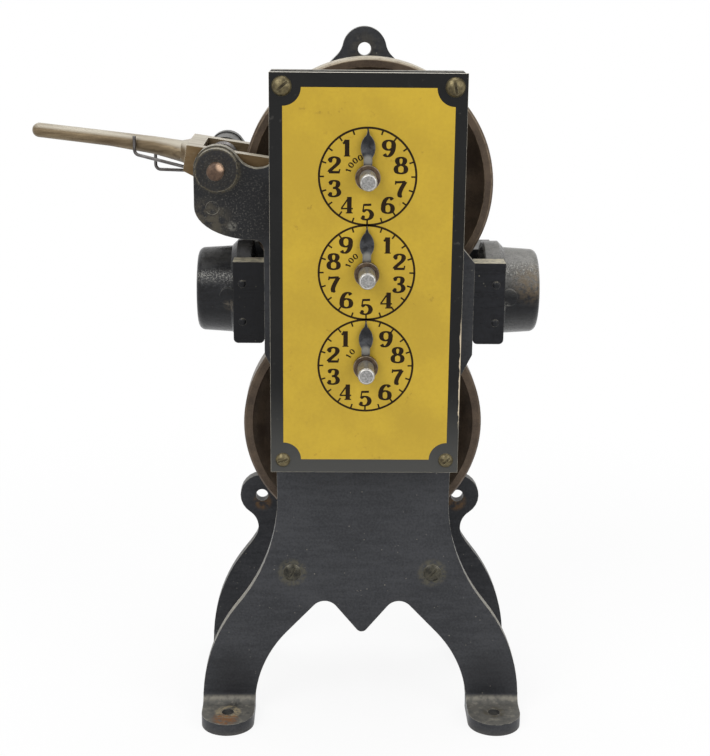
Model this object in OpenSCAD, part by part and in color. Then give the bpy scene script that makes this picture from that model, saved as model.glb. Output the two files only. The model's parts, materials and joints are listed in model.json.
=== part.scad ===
// Wire measuring machine for a shop counter or wall. Wire is drawn between a sprung pressure
// wheel and a measuring wheel of one foot round, and three dials count the feet in tens.
// Millimetres: X to the right, Y to the back, Z up. The origin is on the floor, at the centre
// of the four foot holes.

/* [Cast frames] */
// Thickness of each cast frame plate
frame_t = 5; // [4:0.5:6]
// Clear distance between the front and rear plates
frame_gap = 54; // [52:1:60]
// Height of the front plate
frame_h = 263.6; // [262:0.2:275]
// Width of the plate at its head
head_w = 73.4; // [70:0.2:76]
// Width of the plate above the legs
waist_w = 68.8; // [66:0.2:72]
// Chamfer on the front plate's top corners
head_chamfer = 0.8; // [0.4:0.1:4]
// Height where the legs begin to spread
leg_top_z = 95; // [90:1:100]
// Width over the two legs
leg_spread = 131; // [126:1:138]
// Radius of the hollow curve at the top of each leg
leg_hollow_r = 74; // [66:1:80]
// Height where the outer curve of each leg ends
leg_foot_z = 6; // [4:1:9]
// Width of each leg at the foot
leg_w = 21.5; // [18:0.5:24]
// Radius of the inner curve of each leg
knee_r = 49; // [42:1:56]
// Distance of each arch's centre from the middle
arch_x = 15.2; // [13:0.2:18]
// Height of the top of each arch
arch_top_z = 50.3; // [46:0.1:54]
// Radius at the top of each arch
arch_r = 6; // [4:0.5:8]
// Height of the point between the arches
drop_z = 36.7; // [33:0.1:40]
// Radius of the point between the arches
drop_r = 2.5; // [1.5:0.5:4]

/* [Feet and wall ears] */
// Distance of the foot holes from the plate's front face
foot_hole_set = 9.5; // [8:0.5:14]
// Thickness of each foot
foot_t = 5; // [4:0.5:7]
// Diameter of the foot holes
foot_hole_d = 5; // [4:0.5:7]
// Fillet between leg and foot
foot_fillet_r = 4; // [2:0.5:6]
// Radius of the lower wall ears
ear_r = 9.5; // [8.5:0.5:12]
// Distance of the lower ears' holes from the middle
ear_x = 43.2; // [40:0.1:45]
// Height of the lower ears' holes
ear_z = 74.5; // [72:0.1:78]
// Radius of the hollow under each lower ear
ear_hollow_r = 8.7; // [7:0.1:10]
// Diameter of the ear holes
ear_hole_d = 5.4; // [4:0.1:6]
// Height of the top ear's hole
top_ear_z = 267.9; // [266:0.1:272]
// Radius of the top ear
top_ear_r = 9; // [8:0.5:11]
// Radius of the hollow beside the top ear
top_ear_hollow_r = 9; // [6:0.5:12]

/* [Tie posts] */
// Diameter of the tie posts between the plates
tie_post_d = 11; // [9:0.5:13]
// Distance of the tie posts from the middle
tie_x = 28.5; // [26:0.5:31]
// Height of the tie posts
tie_z = 62.8; // [60:0.2:65]
// Diameter of the tie screws
tie_screw_d = 4; // [3:0.5:5]
// Diameter of the tie screws' heads
tie_head_d = 7.4; // [6:0.2:9]
// Height of the tie screws' heads
tie_head_h = 1.3; // [1:0.1:2]
// Length of the tie screws behind the head
tie_screw_l = 14; // [10:1:20]

/* [Wheels] */
// Rim diameter of the measuring wheel: one foot round
wheel_d = 97.02; // [95:0.01:99]
// Rim diameter of the pressure wheel
press_d = 98; // [96:0.1:100]
// Pressure wheel's offset to the right of the measuring wheel
press_shift = 1.2; // [0:0.1:2]
// Width of the rim
rim_w = 12.5; // [11:0.5:15]
// Width of the flat edge on the rim's sides
rim_t = 3.5; // [3:0.5:6]
// Thickness of the web
web_t = 4; // [3:0.5:6]
// Diameter of the hubs
hub_d = 20; // [18:1:24]
// Fillet between web and hub
web_fillet_r = 2.5; // [1:0.5:3]
// Radius of the hollow between web and rim
dish_r = 12; // [10:0.5:14]
// Distance of the wheels' middle plane from the front plate's back
wheel_set = 20.65; // [20.65:0.05:22]
// Height of the measuring wheel's axle
axle_z = 120.2; // [118:0.1:123]
// Gap left between the two rims
nip_gap = 0.4; // [0.3:0.1:1]
// Diameter of both axles
axle_d = 8; // [7:0.5:9]
// Outer diameter of the axle bushes
axle_bush_d = 12; // [11:0.5:13]
// Diameter of the front bush's flange
bush_flange_d = 16; // [14:0.5:18]
// Thickness of the front bush's flange
bush_flange_t = 1.5; // [1:0.1:2]
// Diameter of the measuring wheel's set screw
set_screw_d = 4; // [3:0.5:5]

/* [Lever] */
// Pivot's distance to the left of the pressure wheel's rim
pivot_x = 8.7; // [7.5:0.1:11]
// Height of the pivot above the pressure wheel's axle
pivot_z = 8.7; // [7:0.1:10]
// Diameter of the pivot pin
pivot_d = 6.4; // [5:0.2:7]
// Length of the pin in front of its boss
pivot_reach = 6; // [3:0.5:8]
// Radius of the bracket round the pivot
bracket_r = 8.9; // [8.5:0.1:10]
// Radius of the raised boss on the bracket
boss_r = 8.1; // [7:0.1:8.4]
// Height of the raised boss on the front bracket
boss_h = 3.9; // [2:0.1:5]
// Radius of the rear bracket round the pivot
rear_bracket_r = 7.4; // [7.2:0.1:9]
// Radius of the boss on the rear bracket
rear_boss_r = 6.8; // [6:0.1:7]
// Height of the bracket's lower edge at the plate
bracket_low_z = 199.8; // [197:0.1:201]
// Height of the round corner below the bracket
bracket_corner_r = 12.6; // [9:0.1:14]
// Clear width between the lever's two arms
fork_gap = 25.7; // [25:0.1:26]
// Thickness of each arm
arm_t = 5.9; // [5:0.1:6.2]
// Height of each arm
arm_h = 12.4; // [11.5:0.1:13.5]
// Length of the arms behind the pivot
arm_tail = 13; // [12.5:0.1:15]
// Thickness of the yoke between the arms
yoke_t = 6; // [4.5:0.1:6.2]
// Diameter of the arms' ends round the wheel axle
arm_end_d = 15; // [14:0.5:17]
// Handle's reach to the left of the pivot
handle_reach = 73.5; // [65:0.5:85]
// Rise of the handle's tip above the pivot
handle_rise = 11.2; // [9:0.1:14]
// Height of the handle at its tip
handle_tip_h = 5.6; // [4:0.1:6.5]
// Width of the handle at its tip
handle_tip_w = 8; // [7:0.1:9]
// Height of the handle at its root
handle_root_h = 8; // [7:0.1:9]
// Width of the handle at its root
handle_root_w = 10; // [9:0.1:11]
// Diameter of the head on the front of the wheel axle
axle_head_d = 12; // [10:0.5:13]
// Thickness of that head
axle_head_t = 1.2; // [0.8:0.1:1.4]
// Width across the flats of the axle's nut
axle_nut_w = 11; // [10:0.5:12]
// Thickness of the axle's nut
axle_nut_t = 5; // [4:0.5:6]
// Diameter of the threaded end in the nut
axle_end_d = 6; // [5:0.5:6.5]

/* [Lever spring] */
// Diameter of the spring wire
wire_d = 1.3; // [1.2:0.1:1.6]
// Mean radius of the coils
coil_r = 5.4; // [5.2:0.1:5.6]
// Distance from turn to turn
coil_pitch = 2.05; // [2.01:0.01:2.1]
// Whole turns of each coil
coil_turns = 2; // [1:1:2]
// Slope of the front leg in degrees
front_leg_slope = 14; // [10:0.1:15]
// Slope of the rear leg in degrees
rear_leg_slope = 1.8; // [1:0.1:4]
// Reach of the front leg to the left of the pivot
front_leg_reach = 33.3; // [28:0.1:36]
// Reach of the rear leg to the left of the pivot
rear_leg_reach = 26.5; // [24:0.5:30]
// Height of the upturned end of each leg
hook_h = 7; // [5:0.5:8]
// Bend radius of the wire
wire_bend_r = 2; // [1.8:0.1:2.5]
// Diameter of the spring's stop post
post_d = 5; // [4:0.5:6]
// Drop of the stop post below the pivot
post_drop = 14.8; // [14:0.1:16]

/* [Wire guides] */
// Guides' offset to the right of the middle
guide_shift = 1.5; // [0:0.1:2]
// Height of the guides' centre above the nip
guide_lift = 6.3; // [4:0.1:8]
// Distance of each guide's inner end from the pressure wheel's rim
guide_in = 2.3; // [1.9:0.1:3]
// Length of the collar
collar_l = 8.5; // [7:0.1:9]
// Diameter of the collar
collar_d = 39.6; // [38:0.1:40]
// Length of the tube beyond the collar
tube_l = 13.6; // [12:0.1:18]
// Diameter of the tube at the collar
tube_d = 34.6; // [33:0.1:35]
// Diameter of the tube at its outer end
tube_end_d = 33.2; // [32:0.1:34.6]
// Widening of the bore towards the inner end
flare_w = 4.2; // [3:0.1:4.4]
// Depth of that widening
flare_l = 6; // [4:0.5:8]
// Diameter of the inner bore
guide_bore_d = 28; // [24:0.5:29]
// Diameter of the hole in the outer end
mouth_d = 19; // [14:0.5:20]
// Thickness of the outer end
mouth_t = 6; // [5:0.1:7]
// Radius round the outer end
tube_round_r = 2.8; // [2:0.1:3.2]
// Half width of the front plate at the guides
cheek_x = 40.5; // [38.5:0.1:41]
// Width of the guide block
block_w = 12; // [11:0.1:13]
// Height of the guide block
block_h = 32; // [30:0.5:34]
// Depth of the guide block
block_d = 9.3; // [8.5:0.1:10]
// Radius of the block's lower corners
block_round_r = 1.8; // [1:0.1:2.4]
// Depth to which the rear plate's saddles take the guides' collars
saddle_grip = 3.4; // [2:0.2:4]
// Rise of the right saddle's lug above the block
saddle_over = 6; // [4:0.5:8]
// Thickness of the block's tongue behind the plate
tongue_t = 4; // [3:0.1:5]
// Height of the tongue
tongue_h = 25; // [22:0.5:28]
// Distance of the tongue's end from the middle of the pair
tongue_in = 27; // [25:0.5:29]
// Diameter of the guide screws and rivets
guide_screw_d = 3; // [2.5:0.5:3.5]
// Spacing of the guide screws and rivets
guide_screw_gap = 15; // [13:0.5:17]

/* [Dial plate] */
// Width of the dial plate
plate_w = 72.6; // [71:0.1:76]
// Height of the dial plate
plate_h = 153; // [150:0.5:156]
// Thickness of the dial plate
plate_t = 2; // [1.5:0.1:2.5]
// Height of the plate's top above the top dial's centre
plate_over = 37.7; // [37:0.1:38.5]
// Gap between the dial plate and the front frame plate
plate_gap = 11.8; // [11.6:0.1:13]
// Distance of the corner screws from the dial plate's sides
corner_side = 4.7; // [4.2:0.1:5]
// Distance of the corner screws from the plate's ends
corner_end = 5; // [4.5:0.1:6]
// Diameter of the pillars behind the plate
pillar_d = 7; // [6:0.5:8]
// Diameter of the pillars' riveted ends
pillar_end_d = 4; // [3:0.5:5]
// Metal of the front plate beside those ends
pillar_wall = 0.9; // [0.6:0.1:1.2]
// Diameter of the corner screws
corner_screw_d = 3; // [2.5:0.5:3.5]
// Diameter of the corner screws' heads
corner_head_d = 7.4; // [6:0.1:8]
// Diameter of the lower corner screws' heads
low_head_d = 5.8; // [5:0.1:8]
// Height of the corner screws' heads
corner_head_h = 2; // [1.5:0.1:3]

/* [Counter] */
// Distance between the centres of neighbouring dials
dial_pitch = 36.1; // [35.9:0.1:37]
// Distance of the lowest dial's centre above the measuring axle
axle_drop = 33.9; // [33:0.1:34.5]
// Teeth of each pinion
pinion_teeth = 10; // [10:1:10]
// Teeth of each dial gear
gear_teeth = 100; // [100:1:100]
// Width of the gears
gear_w = 2; // [1.6:0.1:2.1]
// Gap between neighbouring gears
gear_gap = 1.5; // [1.2:0.1:1.6]
// Gap between the front frame plate and the first gear
first_gap = 1; // [1:0.1:1.2]
// Thinning of each tooth for backlash
tooth_thin = 0.1; // [0.06:0.01:0.14]
// Diameter of the spindles
spindle_d = 3; // [2.4:0.1:3.2]
// Outer diameter of the spindle bushes
spindle_bush_d = 6; // [5:0.5:7]
// Diameter of the spindle bushes' flanges
spindle_flange_d = 8; // [7.5:0.5:9]
// Thickness of the spindle bushes' flanges
spindle_flange_t = 0.7; // [0.5:0.1:0.8]
// Diameter of the turning studs
stud_d = 6.3; // [6:0.1:8]
// Reach of the studs in front of the dial plate
stud_reach = 15.8; // [10:0.1:20]
// Thickness of the pointers
pointer_t = 0.8; // [0.6:0.1:1]
// Length of the pointers
pointer_l = 18.2; // [16:0.1:18.2]
// Width of the pointers' leaf
leaf_w = 5.4; // [4:0.1:6]
// Length of the pointers' leaf
leaf_l = 10.5; // [9:0.1:11]
// Width of the pointers' stem
stem_w = 3.2; // [2.5:0.1:4]
// Diameter of the pointers' collars
hub_ring_d = 9.4; // [8:0.1:11]
// Thickness of the pointers' collars
hub_ring_t = 2.2; // [1:0.1:3]

/* [Fits] */
// Gap all round a fixed fit
fit_gap = 0.02; // [0.01:0.01:0.03]
// Gap all round a running fit
run_gap = 0.05; // [0.03:0.01:0.08]
// Side play beside a moving piece
side_gap = 0.3; // [0.2:0.05:0.5]
// Width of the screw slots
slot_w = 1; // [0.8:0.1:1.4]

/* [Hidden] */
$fn = 64;

// Planes across the machine, from the front to the back
front_y0 = foot_hole_set - (frame_gap + frame_t) / 2;
front_y1 = front_y0 + frame_t;
rear_y0 = front_y1 + frame_gap;
rear_y1 = rear_y0 + frame_t;
plate_back_y = front_y0 - plate_gap;
plate_face_y = plate_back_y - plate_t;
wheel_y = front_y1 + wheel_set;
arm_in_front = wheel_y - fork_gap / 2;
arm_in_rear = wheel_y + fork_gap / 2;
arm_out_front = arm_in_front - arm_t;
arm_out_rear = arm_in_rear + arm_t;
rear_boss_y = arm_out_rear + side_gap;

// Heights
press_z = axle_z + (wheel_d + press_d) / 2 + nip_gap;
guide_z = axle_z + wheel_d / 2 + nip_gap / 2 + guide_lift;
dial_z = [for (i = [0:2]) axle_z + axle_drop + i * dial_pitch];
plate_top_z = dial_z[2] + plate_over;

// Legs: the hollow and the round curve of the outer edge meet in one tangent
leg_x = leg_spread / 2;
hollow_c = [waist_w / 2 + leg_hollow_r, leg_top_z];
spread_x = hollow_c.x - leg_x;
spread_z = leg_top_z - leg_foot_z;
leg_round_r = (spread_x ^ 2 + spread_z ^ 2 - leg_hollow_r ^ 2) / (2 * (leg_hollow_r - spread_x));
round_c = [leg_x - leg_round_r, leg_foot_z];
sweep_a = atan2(hollow_c.y - round_c.y, hollow_c.x - round_c.x);
foot_x = leg_x - leg_w / 2;

// Arches: the knee, the arch and the point between them share tangent lines
knee_c = [leg_x - leg_w - knee_r, leg_foot_z / 2];
arch_c = [arch_x, arch_top_z - arch_r];
drop_c = [0, drop_z + drop_r];
knee_a = atan2(arch_c.y - knee_c.y, arch_c.x - knee_c.x)
    - acos((knee_r - arch_r) / norm(arch_c - knee_c));
drop_a = 360 + atan2(drop_c.y - arch_c.y, drop_c.x - arch_c.x)
    - acos((arch_r + drop_r) / norm(drop_c - arch_c));

// Lever: the arms point from the pivot to the pressure wheel's axle
press_axle = [press_shift, press_z];
pivot = press_axle + [-press_d / 2 - pivot_x, pivot_z];
arm_slope = atan2(-pivot_z, press_shift - pivot.x);
arm_l = norm(press_axle - pivot);

// Castings beside the plates: where brackets and cheeks take root, and where the guides start
root_x = min(head_w, waist_w) / 2 - 1;
cheek_fillet_r = 3.7;
cheek_low = 4.4;
guide_start = sqrt((press_d / 2) ^ 2 - (press_z - guide_z - collar_d / 2) ^ 2) + guide_in;

// Gears: planes from the front plate outwards, and the sizes of the two pairs
gear_y = [for (i = [0:2]) front_y0 - first_gap - gear_w - i * (gear_w + gear_gap)];
drive_module = 2 * axle_drop / (pinion_teeth + gear_teeth);
dial_module = 2 * dial_pitch / (pinion_teeth + gear_teeth);
pressure_angle = 20;
tooth_shift = 0.35;
pinion_addendum = 1.2;
gear_addendum = 0.55;
tip_clearance = 0.3;
pointer_y = plate_face_y - spindle_flange_t - side_gap - pointer_t;
hub_ring_y = pointer_y - hub_ring_t;

// Colours
iron = [0.13, 0.13, 0.14];
bronze = [0.62, 0.53, 0.36];
steel = [0.66, 0.66, 0.64];
dark_steel = [0.25, 0.25, 0.27];
brass = [0.72, 0.58, 0.28];
wheel_brown = [0.33, 0.25, 0.19];
dial_yellow = [0.83, 0.68, 0.18];

// Points along an arc about c, from angle a0 to angle a1
function arc(c, r, a0, a1, n = 12) =
    [for (i = [0:n]) c + r * [cos(a0 + (a1 - a0) * i / n), sin(a0 + (a1 - a0) * i / n)]];

// The same points mirrored to the left and in the other order
function mirrored(points) = [for (i = [len(points) - 1:-1:0]) [-points[i].x, points[i].y]];

// Where two circles meet, on the side that lies to the right of c0 to c1
function circles_meet(c0, r0, c1, r1) =
    let (d = norm(c1 - c0), u = (c1 - c0) / d)
    let (along = (d ^ 2 + r0 ^ 2 - r1 ^ 2) / (2 * d), across = sqrt(r0 ^ 2 - along ^ 2))
    c0 + along * u + across * [u.y, -u.x];

// Plate of thickness t whose outline stands in X and Z, with its front face at y
module upright(y, t) {
    translate([0, y + t, 0]) rotate([90, 0, 0]) linear_extrude(t) children();
}

// Turned solid whose axis runs to the back from a point
module turned(x, y, z) {
    translate([x, y, z]) rotate([-90, 0, 0]) children();
}

// Round bar along Y from y0 to y1
module bar(x, z, y0, y1, d) {
    turned(x, y0, z) cylinder(h = y1 - y0, d = d);
}

// Domed head that stands to the front of y, turned from its profile
module dome(x, y, z, d, h) {
    dome_r = ((d / 2) ^ 2 + h ^ 2) / (2 * h);
    edge_a = asin(d / 2 / dome_r);
    turned(x, y, z) rotate_extrude()
        polygon(concat([[0, 0]], arc([0, dome_r - h], dome_r, edge_a - 90, -90, 6)));
}

// Screw with a domed, slotted head whose seat is at y
module domed_screw(x, y, z, d, l, head_d, head_h, slot_a) {
    bar(x, z, y, y + l, d);
    difference() {
        dome(x, y, z, head_d, head_h);
        translate([x, y - head_h, z]) rotate([0, slot_a, 0])
            translate([-head_d, -head_h / 2, -slot_w / 2]) cube([2 * head_d, head_h, slot_w]);
    }
}

// Right half of the legs, from the waist down and round to the point in the middle
function leg_points() = concat(
    arc(hollow_c, leg_hollow_r, 180, 180 + sweep_a),
    arc(round_c, leg_round_r, sweep_a, 0),
    [[leg_x, 0], [leg_x - leg_w, 0]],
    arc(knee_c, knee_r, 0, knee_a),
    arc(arch_c, arch_r, knee_a, drop_a),
    arc(drop_c, drop_r, drop_a + 180, 270, 6));

// Half width of the plates at a height between waist and head
function side_x(z) = (waist_w + (head_w - waist_w) * (z - leg_top_z) / (frame_h - leg_top_z)) / 2;

// Right half of the front plate's head
function front_head_points() =
    [[head_w / 2 - head_chamfer, frame_h], [head_w / 2, frame_h - head_chamfer]];

// Right half of the rear plate's gable with the top ear
function rear_head_points() =
    let (lean = 12, c = [0, top_ear_z])
    let (hollow = c + (top_ear_r + top_ear_hollow_r) * [cos(lean), sin(lean)])
    let (eave = hollow + top_ear_hollow_r * [cos(225), sin(225)])
    concat(arc(c, top_ear_r, 90, lean), arc(hollow, top_ear_hollow_r, 180 + lean, 225),
        [[head_w / 2, eave.y - (head_w / 2 - eave.x)]]);

// Outline of a whole plate under a given head
module plate_outline(head) {
    half = concat(head, leg_points());
    polygon(concat(half, mirrored(half)));
}

// Outline of the bracket that carries the lever's pivot
module bracket_outline(r) {
    rise_a = 25;
    scoop_r = (-root_x - pivot.x - r * cos(30)) / (cos(30) + cos(rise_a));
    scoop = pivot + (r + scoop_r) * [cos(30), sin(30)];
    corner = [guide_shift - cheek_x - cheek_fillet_r, bracket_low_z + bracket_corner_r];
    corner_w = corner.x - pivot.x + r;
    polygon(concat([[-root_x, bracket_low_z]],
        [for (a = [270:-7.5:180]) corner + [corner_w * cos(a), bracket_corner_r * sin(a)]],
        arc(pivot, r, 180, 30), arc(scoop, scoop_r, 210, 360 - rise_a)));
}

// Outline of one lower wall ear on the right, blended into the leg
module ear_outline() {
    c = [ear_x, ear_z];
    hollow = circles_meet(c, ear_r + ear_hollow_r, hollow_c, leg_hollow_r - ear_hollow_r);
    to_hollow = atan2(hollow.y - c.y, hollow.x - c.x);
    from_leg = 360 + atan2(hollow.y - hollow_c.y, hollow.x - hollow_c.x);
    low = hollow + ear_hollow_r * [cos(from_leg), sin(from_leg)];
    polygon(concat([[tie_x, low.y]], [[tie_x, leg_top_z]], arc(c, ear_r, 110, to_hollow),
        arc(hollow, ear_hollow_r, to_hollow + 180, from_leg)));
}

// Outline of one cheek of the front plate, which holds a guide block. The left one runs up into
// the bracket with a fillet
module cheek_outline(side) {
    edge = cheek_x + side * guide_shift;
    root = root_x - 1;
    top = guide_z + block_h / 2;
    slope = 7.3;
    low = guide_z - block_h / 2 - cheek_low;
    foot = low - 2 * (edge - root);
    fillet_c = [edge + cheek_fillet_r, bracket_low_z - cheek_fillet_r];
    head = side > 0 ? [[root, top + slope], [side_x(top + slope), top + slope], [edge, top]]
        : concat([[root, bracket_low_z + 1], [edge + cheek_fillet_r, bracket_low_z + 1]],
            arc(fillet_c, cheek_fillet_r, 90, 180, 6));
    polygon([for (p = concat(head, [[edge, low], [root, foot]])) [side * p.x, p.y]]);
}

// Two feet turned to the front, with their fillets, for a plate whose front face is at y
module feet(y) {
    for (side = [-1, 1]) {
        x = side * foot_x;
        translate([x, y - foot_hole_set, 0]) cylinder(h = foot_t, d = leg_w);
        translate([x - leg_w / 2, y - foot_hole_set, 0]) cube([leg_w, foot_hole_set + frame_t, foot_t]);
        difference() {
            translate([x - leg_w / 2, y - foot_fillet_r, foot_t])
                cube([leg_w, foot_fillet_r + frame_t / 2, foot_fillet_r]);
            translate([x - leg_w, y - foot_fillet_r, foot_t + foot_fillet_r])
                rotate([0, 90, 0]) cylinder(h = 2 * leg_w, r = foot_fillet_r);
        }
    }
}

// Holes down through the two feet
module foot_holes(y) {
    for (side = [-1, 1])
        translate([side * foot_x, y - foot_hole_set, -1]) cylinder(h = foot_t + 2, d = foot_hole_d);
}

// Places of the corner pillars, as X and Z
function corner_places() = [for (sx = [-1, 1], end = [0, 1])
    [sx * (plate_w / 2 - corner_side),
        plate_top_z - (end == 0 ? corner_end : plate_h - corner_end)]];

// Strip of the front plate that carries the pillars of one side
module pillar_rail(side) {
    r = pillar_end_d / 2 + pillar_wall;
    translate([side * (plate_w / 2 - corner_side) - r, plate_top_z - plate_h + corner_end - r])
        square([2 * r, plate_h - 2 * corner_end + 2 * r]);
}

// Heights of the two screws or rivets of a guide
function guide_screw_heights() = [for (s = [-1, 1]) guide_z + s * guide_screw_gap / 2];
guide_screw_x = (tongue_in + waist_w / 2) / 2;

module front_frame() color(iron) difference() {
    union() {
        upright(front_y0, frame_t) {
            plate_outline(front_head_points());
            bracket_outline(bracket_r);
            cheek_outline(-1);
            cheek_outline(1);
            pillar_rail(-1);
            pillar_rail(1);
        }
        feet(front_y0);
        bar(pivot.x, pivot.y, front_y0 - boss_h, front_y1, 2 * boss_r);
    }
    foot_holes(front_y0);
    bar(pivot.x, pivot.y, front_y0 - boss_h - 1, front_y1 + 1, pivot_d + 2 * fit_gap);
    bar(post_x(), pivot.y - post_drop, front_y0 - 1, front_y1 + 1, post_d + 2 * fit_gap);
    bar(0, axle_z, front_y0 - 1, front_y1 + 1, axle_bush_d + 2 * fit_gap);
    for (z = dial_z)
        bar(0, z, front_y0 - 1, front_y1 + 1, spindle_bush_d + 2 * fit_gap);
    for (p = corner_places())
        bar(p.x, p.y, front_y0 - 1, front_y1 + 1, pillar_end_d + 2 * fit_gap);
    for (side = [-1, 1]) {
        bar(side * tie_x, tie_z, front_y0 - 1, front_y1 + 1, tie_screw_d + 2 * run_gap);
        for (z = guide_screw_heights())
            guide_screw_solid(side * guide_screw_x + guide_shift, z, fit_gap);
    }
}

module rear_frame() color(iron) difference() {
    union() {
        upright(rear_y0, frame_t) {
            plate_outline(rear_head_points());
            bracket_outline(rear_bracket_r);
            ear_outline();
            mirror([1, 0]) ear_outline();
        }
        feet(rear_y0);
        bar(pivot.x, pivot.y, rear_boss_y, rear_y0 + frame_t / 2, 2 * rear_boss_r);
        for (side = [-1, 1]) rear_saddle(side);
    }
    foot_holes(rear_y0);
    bar(pivot.x, pivot.y, rear_boss_y - 1, rear_y1 + 1, pivot_d + 2 * fit_gap);
    bar(post_x(), pivot.y - post_drop, rear_y0 - 1, rear_y1 + 1, post_d + 2 * fit_gap);
    bar(0, axle_z, rear_y0 - 1, rear_y1 + 1, axle_bush_d + 2 * fit_gap);
    bar(0, top_ear_z, rear_y0 - 1, rear_y1 + 1, ear_hole_d);
    for (side = [-1, 1]) {
        bar(side * ear_x, ear_z, rear_y0 - 1, rear_y1 + 1, ear_hole_d);
        bar(side * tie_x, tie_z, rear_y0 - 1, rear_y1 + 1, tie_screw_d + 2 * run_gap);
        rear_tie_recess(side);
    }
}

// Recess for a rear tie screw's head, so that the back stays flat
module rear_tie_recess(side) {
    bar(side * tie_x, tie_z, rear_y1 - tie_head_h - 2 * side_gap, rear_y1 + 1, tie_head_d + 1);
}

module tie_posts() color(iron) for (side = [-1, 1]) difference() {
    bar(side * tie_x, tie_z, front_y1, rear_y0, tie_post_d);
    bar(side * tie_x, tie_z, front_y1 - 1, front_y1 + tie_screw_l, tie_screw_d + 2 * fit_gap);
    bar(side * tie_x, tie_z, rear_y0 - tie_screw_l, rear_y0 + 1, tie_screw_d + 2 * fit_gap);
}

module front_tie_screws() color(dark_steel) for (side = [-1, 1])
    domed_screw(side * tie_x, front_y0, tie_z, tie_screw_d, tie_screw_l, tie_head_d, tie_head_h,
        side * 6.5 - 57);

module rear_tie_screws() color(dark_steel) {
    seat = rear_y1 - tie_head_h - 2 * side_gap;
    for (side = [-1, 1])
        translate([0, 2 * seat, 0]) mirror([0, 1, 0])
            domed_screw(side * tie_x, seat, tie_z, tie_screw_d, tie_screw_l, tie_head_d, tie_head_h,
                side * 20);
}

// Countersunk screw from the front plate's face into a guide's tongue
module guide_screw_solid(x, z, gap) {
    l = frame_t + tongue_t;
    d = guide_screw_d + 2 * gap;
    turned(x, front_y0, z) {
        cylinder(h = d / 2, d1 = 2 * d, d2 = d);
        cylinder(h = l, d = d);
    }
}

// Outline of a guide block whose left side is at x
module block_outline(x) {
    lug_outline(x, block_w, guide_z + block_h / 2);
}

// Outline of a lug from the block's lower edge up, with round lower corners
module lug_outline(x, w, top) {
    r = block_round_r;
    low = guide_z - block_h / 2;
    polygon(concat([[x + w, top], [x, top]],
        arc([x + r, low + r], r, 180, 270, 6), arc([x + w - r, low + r], r, 270, 360, 6)));
}

// Seat of a guide's collar in a block
module collar_bore(x) {
    translate([x - 1, wheel_y, guide_z]) rotate([0, 90, 0])
        cylinder(h = block_w + 2, d = collar_d + 2 * fit_gap);
}

// Lug on the rear plate with a saddle behind one guide's collar
module rear_saddle(side) {
    root = root_x - 1;
    w = cheek_x + block_w + side * guide_shift - root;
    top = side > 0 ? guide_z + block_h / 2 + saddle_over : bracket_low_z + 2;
    front = wheel_y + collar_d / 2 - saddle_grip;
    block_x = side * cheek_x + guide_shift - (side > 0 ? 0 : block_w);
    upright(rear_y0, frame_t) lug_outline(side > 0 ? root : -root - w, w, top);
    difference() {
        upright(front, rear_y0 + frame_t / 2 - front) block_outline(block_x);
        collar_bore(block_x);
    }
}

// Block that stands beside the plate's cheek, with a tongue behind the plate
module guide_bracket(side) {
    edge = side * cheek_x + guide_shift;
    block_x = side > 0 ? edge : edge - block_w;
    tongue_l = cheek_x - tongue_in + block_w / 2;
    tongue_x = side * tongue_in + guide_shift;
    color(iron) difference() {
        union() {
            upright(front_y0, block_d) block_outline(block_x);
            translate([side > 0 ? tongue_x : tongue_x - tongue_l, front_y1, guide_z - tongue_h / 2])
                cube([tongue_l, tongue_t, tongue_h]);
        }
        collar_bore(block_x);
        for (z = guide_screw_heights()) {
            guide_screw_solid(side * guide_screw_x + guide_shift, z, fit_gap);
            bar(guide_rivet_x(side), z, front_y0 - 1, wheel_y, guide_screw_d + 2 * fit_gap);
        }
    }
}

function guide_rivet_x(side) = side * (guide_start + cheek_x + block_w) / 2 + guide_shift;
guide_rivet_end_y = wheel_y - collar_d / 2 + 3.5;

// Profile of a guide: radius against the distance from its inner end
module guide_profile() {
    l = collar_l + tube_l;
    lip = mouth_t / 2;
    r = collar_d / 2;
    edge = 0.6;
    slope = 2.2;
    polygon(concat(
        [for (a = [0:15:90]) [guide_bore_d / 2 + flare_w * (1 - cos(a)), flare_l * (1 - sin(a))]],
        [[r - edge, 0], [r, edge], [r, collar_l - slope], [r - slope, collar_l], [tube_d / 2, collar_l]],
        arc([tube_end_d / 2 - tube_round_r, l - tube_round_r], tube_round_r, 0, 90, 8),
        arc([mouth_d / 2 + lip, l - lip], lip, 90, 180, 8),
        [[mouth_d / 2, l - mouth_t], [guide_bore_d / 2, l - mouth_t - lip]]));
}

// Collared tube through which the wire enters or leaves
module guide_tube(side) {
    boss_x = side * (guide_start + collar_l + 1) + guide_shift;
    color(iron) difference() {
        union() {
            translate([side * guide_start + guide_shift, wheel_y, guide_z]) rotate([0, side * 90, 0])
                rotate_extrude() guide_profile();
            difference() {
                bar(boss_x, guide_z + 1, wheel_y - collar_d / 2 + 0.7, wheel_y, guide_screw_d + 3.6);
                translate([boss_x - tube_l, wheel_y, guide_z]) rotate([0, 90, 0])
                    cylinder(h = 2 * tube_l, d = tube_d - 1);
            }
        }
        for (z = guide_screw_heights())
            bar(guide_rivet_x(side), z, front_y0, guide_rivet_end_y, guide_screw_d + 2 * fit_gap);
    }
}

module guide_screws() color(dark_steel) for (side = [-1, 1], z = guide_screw_heights())
    guide_screw_solid(side * guide_screw_x + guide_shift, z, 0);

module guide_rivets() color(dark_steel) for (side = [-1, 1], z = guide_screw_heights()) {
    x = guide_rivet_x(side);
    bar(x, z, front_y0, guide_rivet_end_y, guide_screw_d);
    dome(x, front_y0, z, guide_screw_d, guide_screw_d / 5);
}

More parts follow.
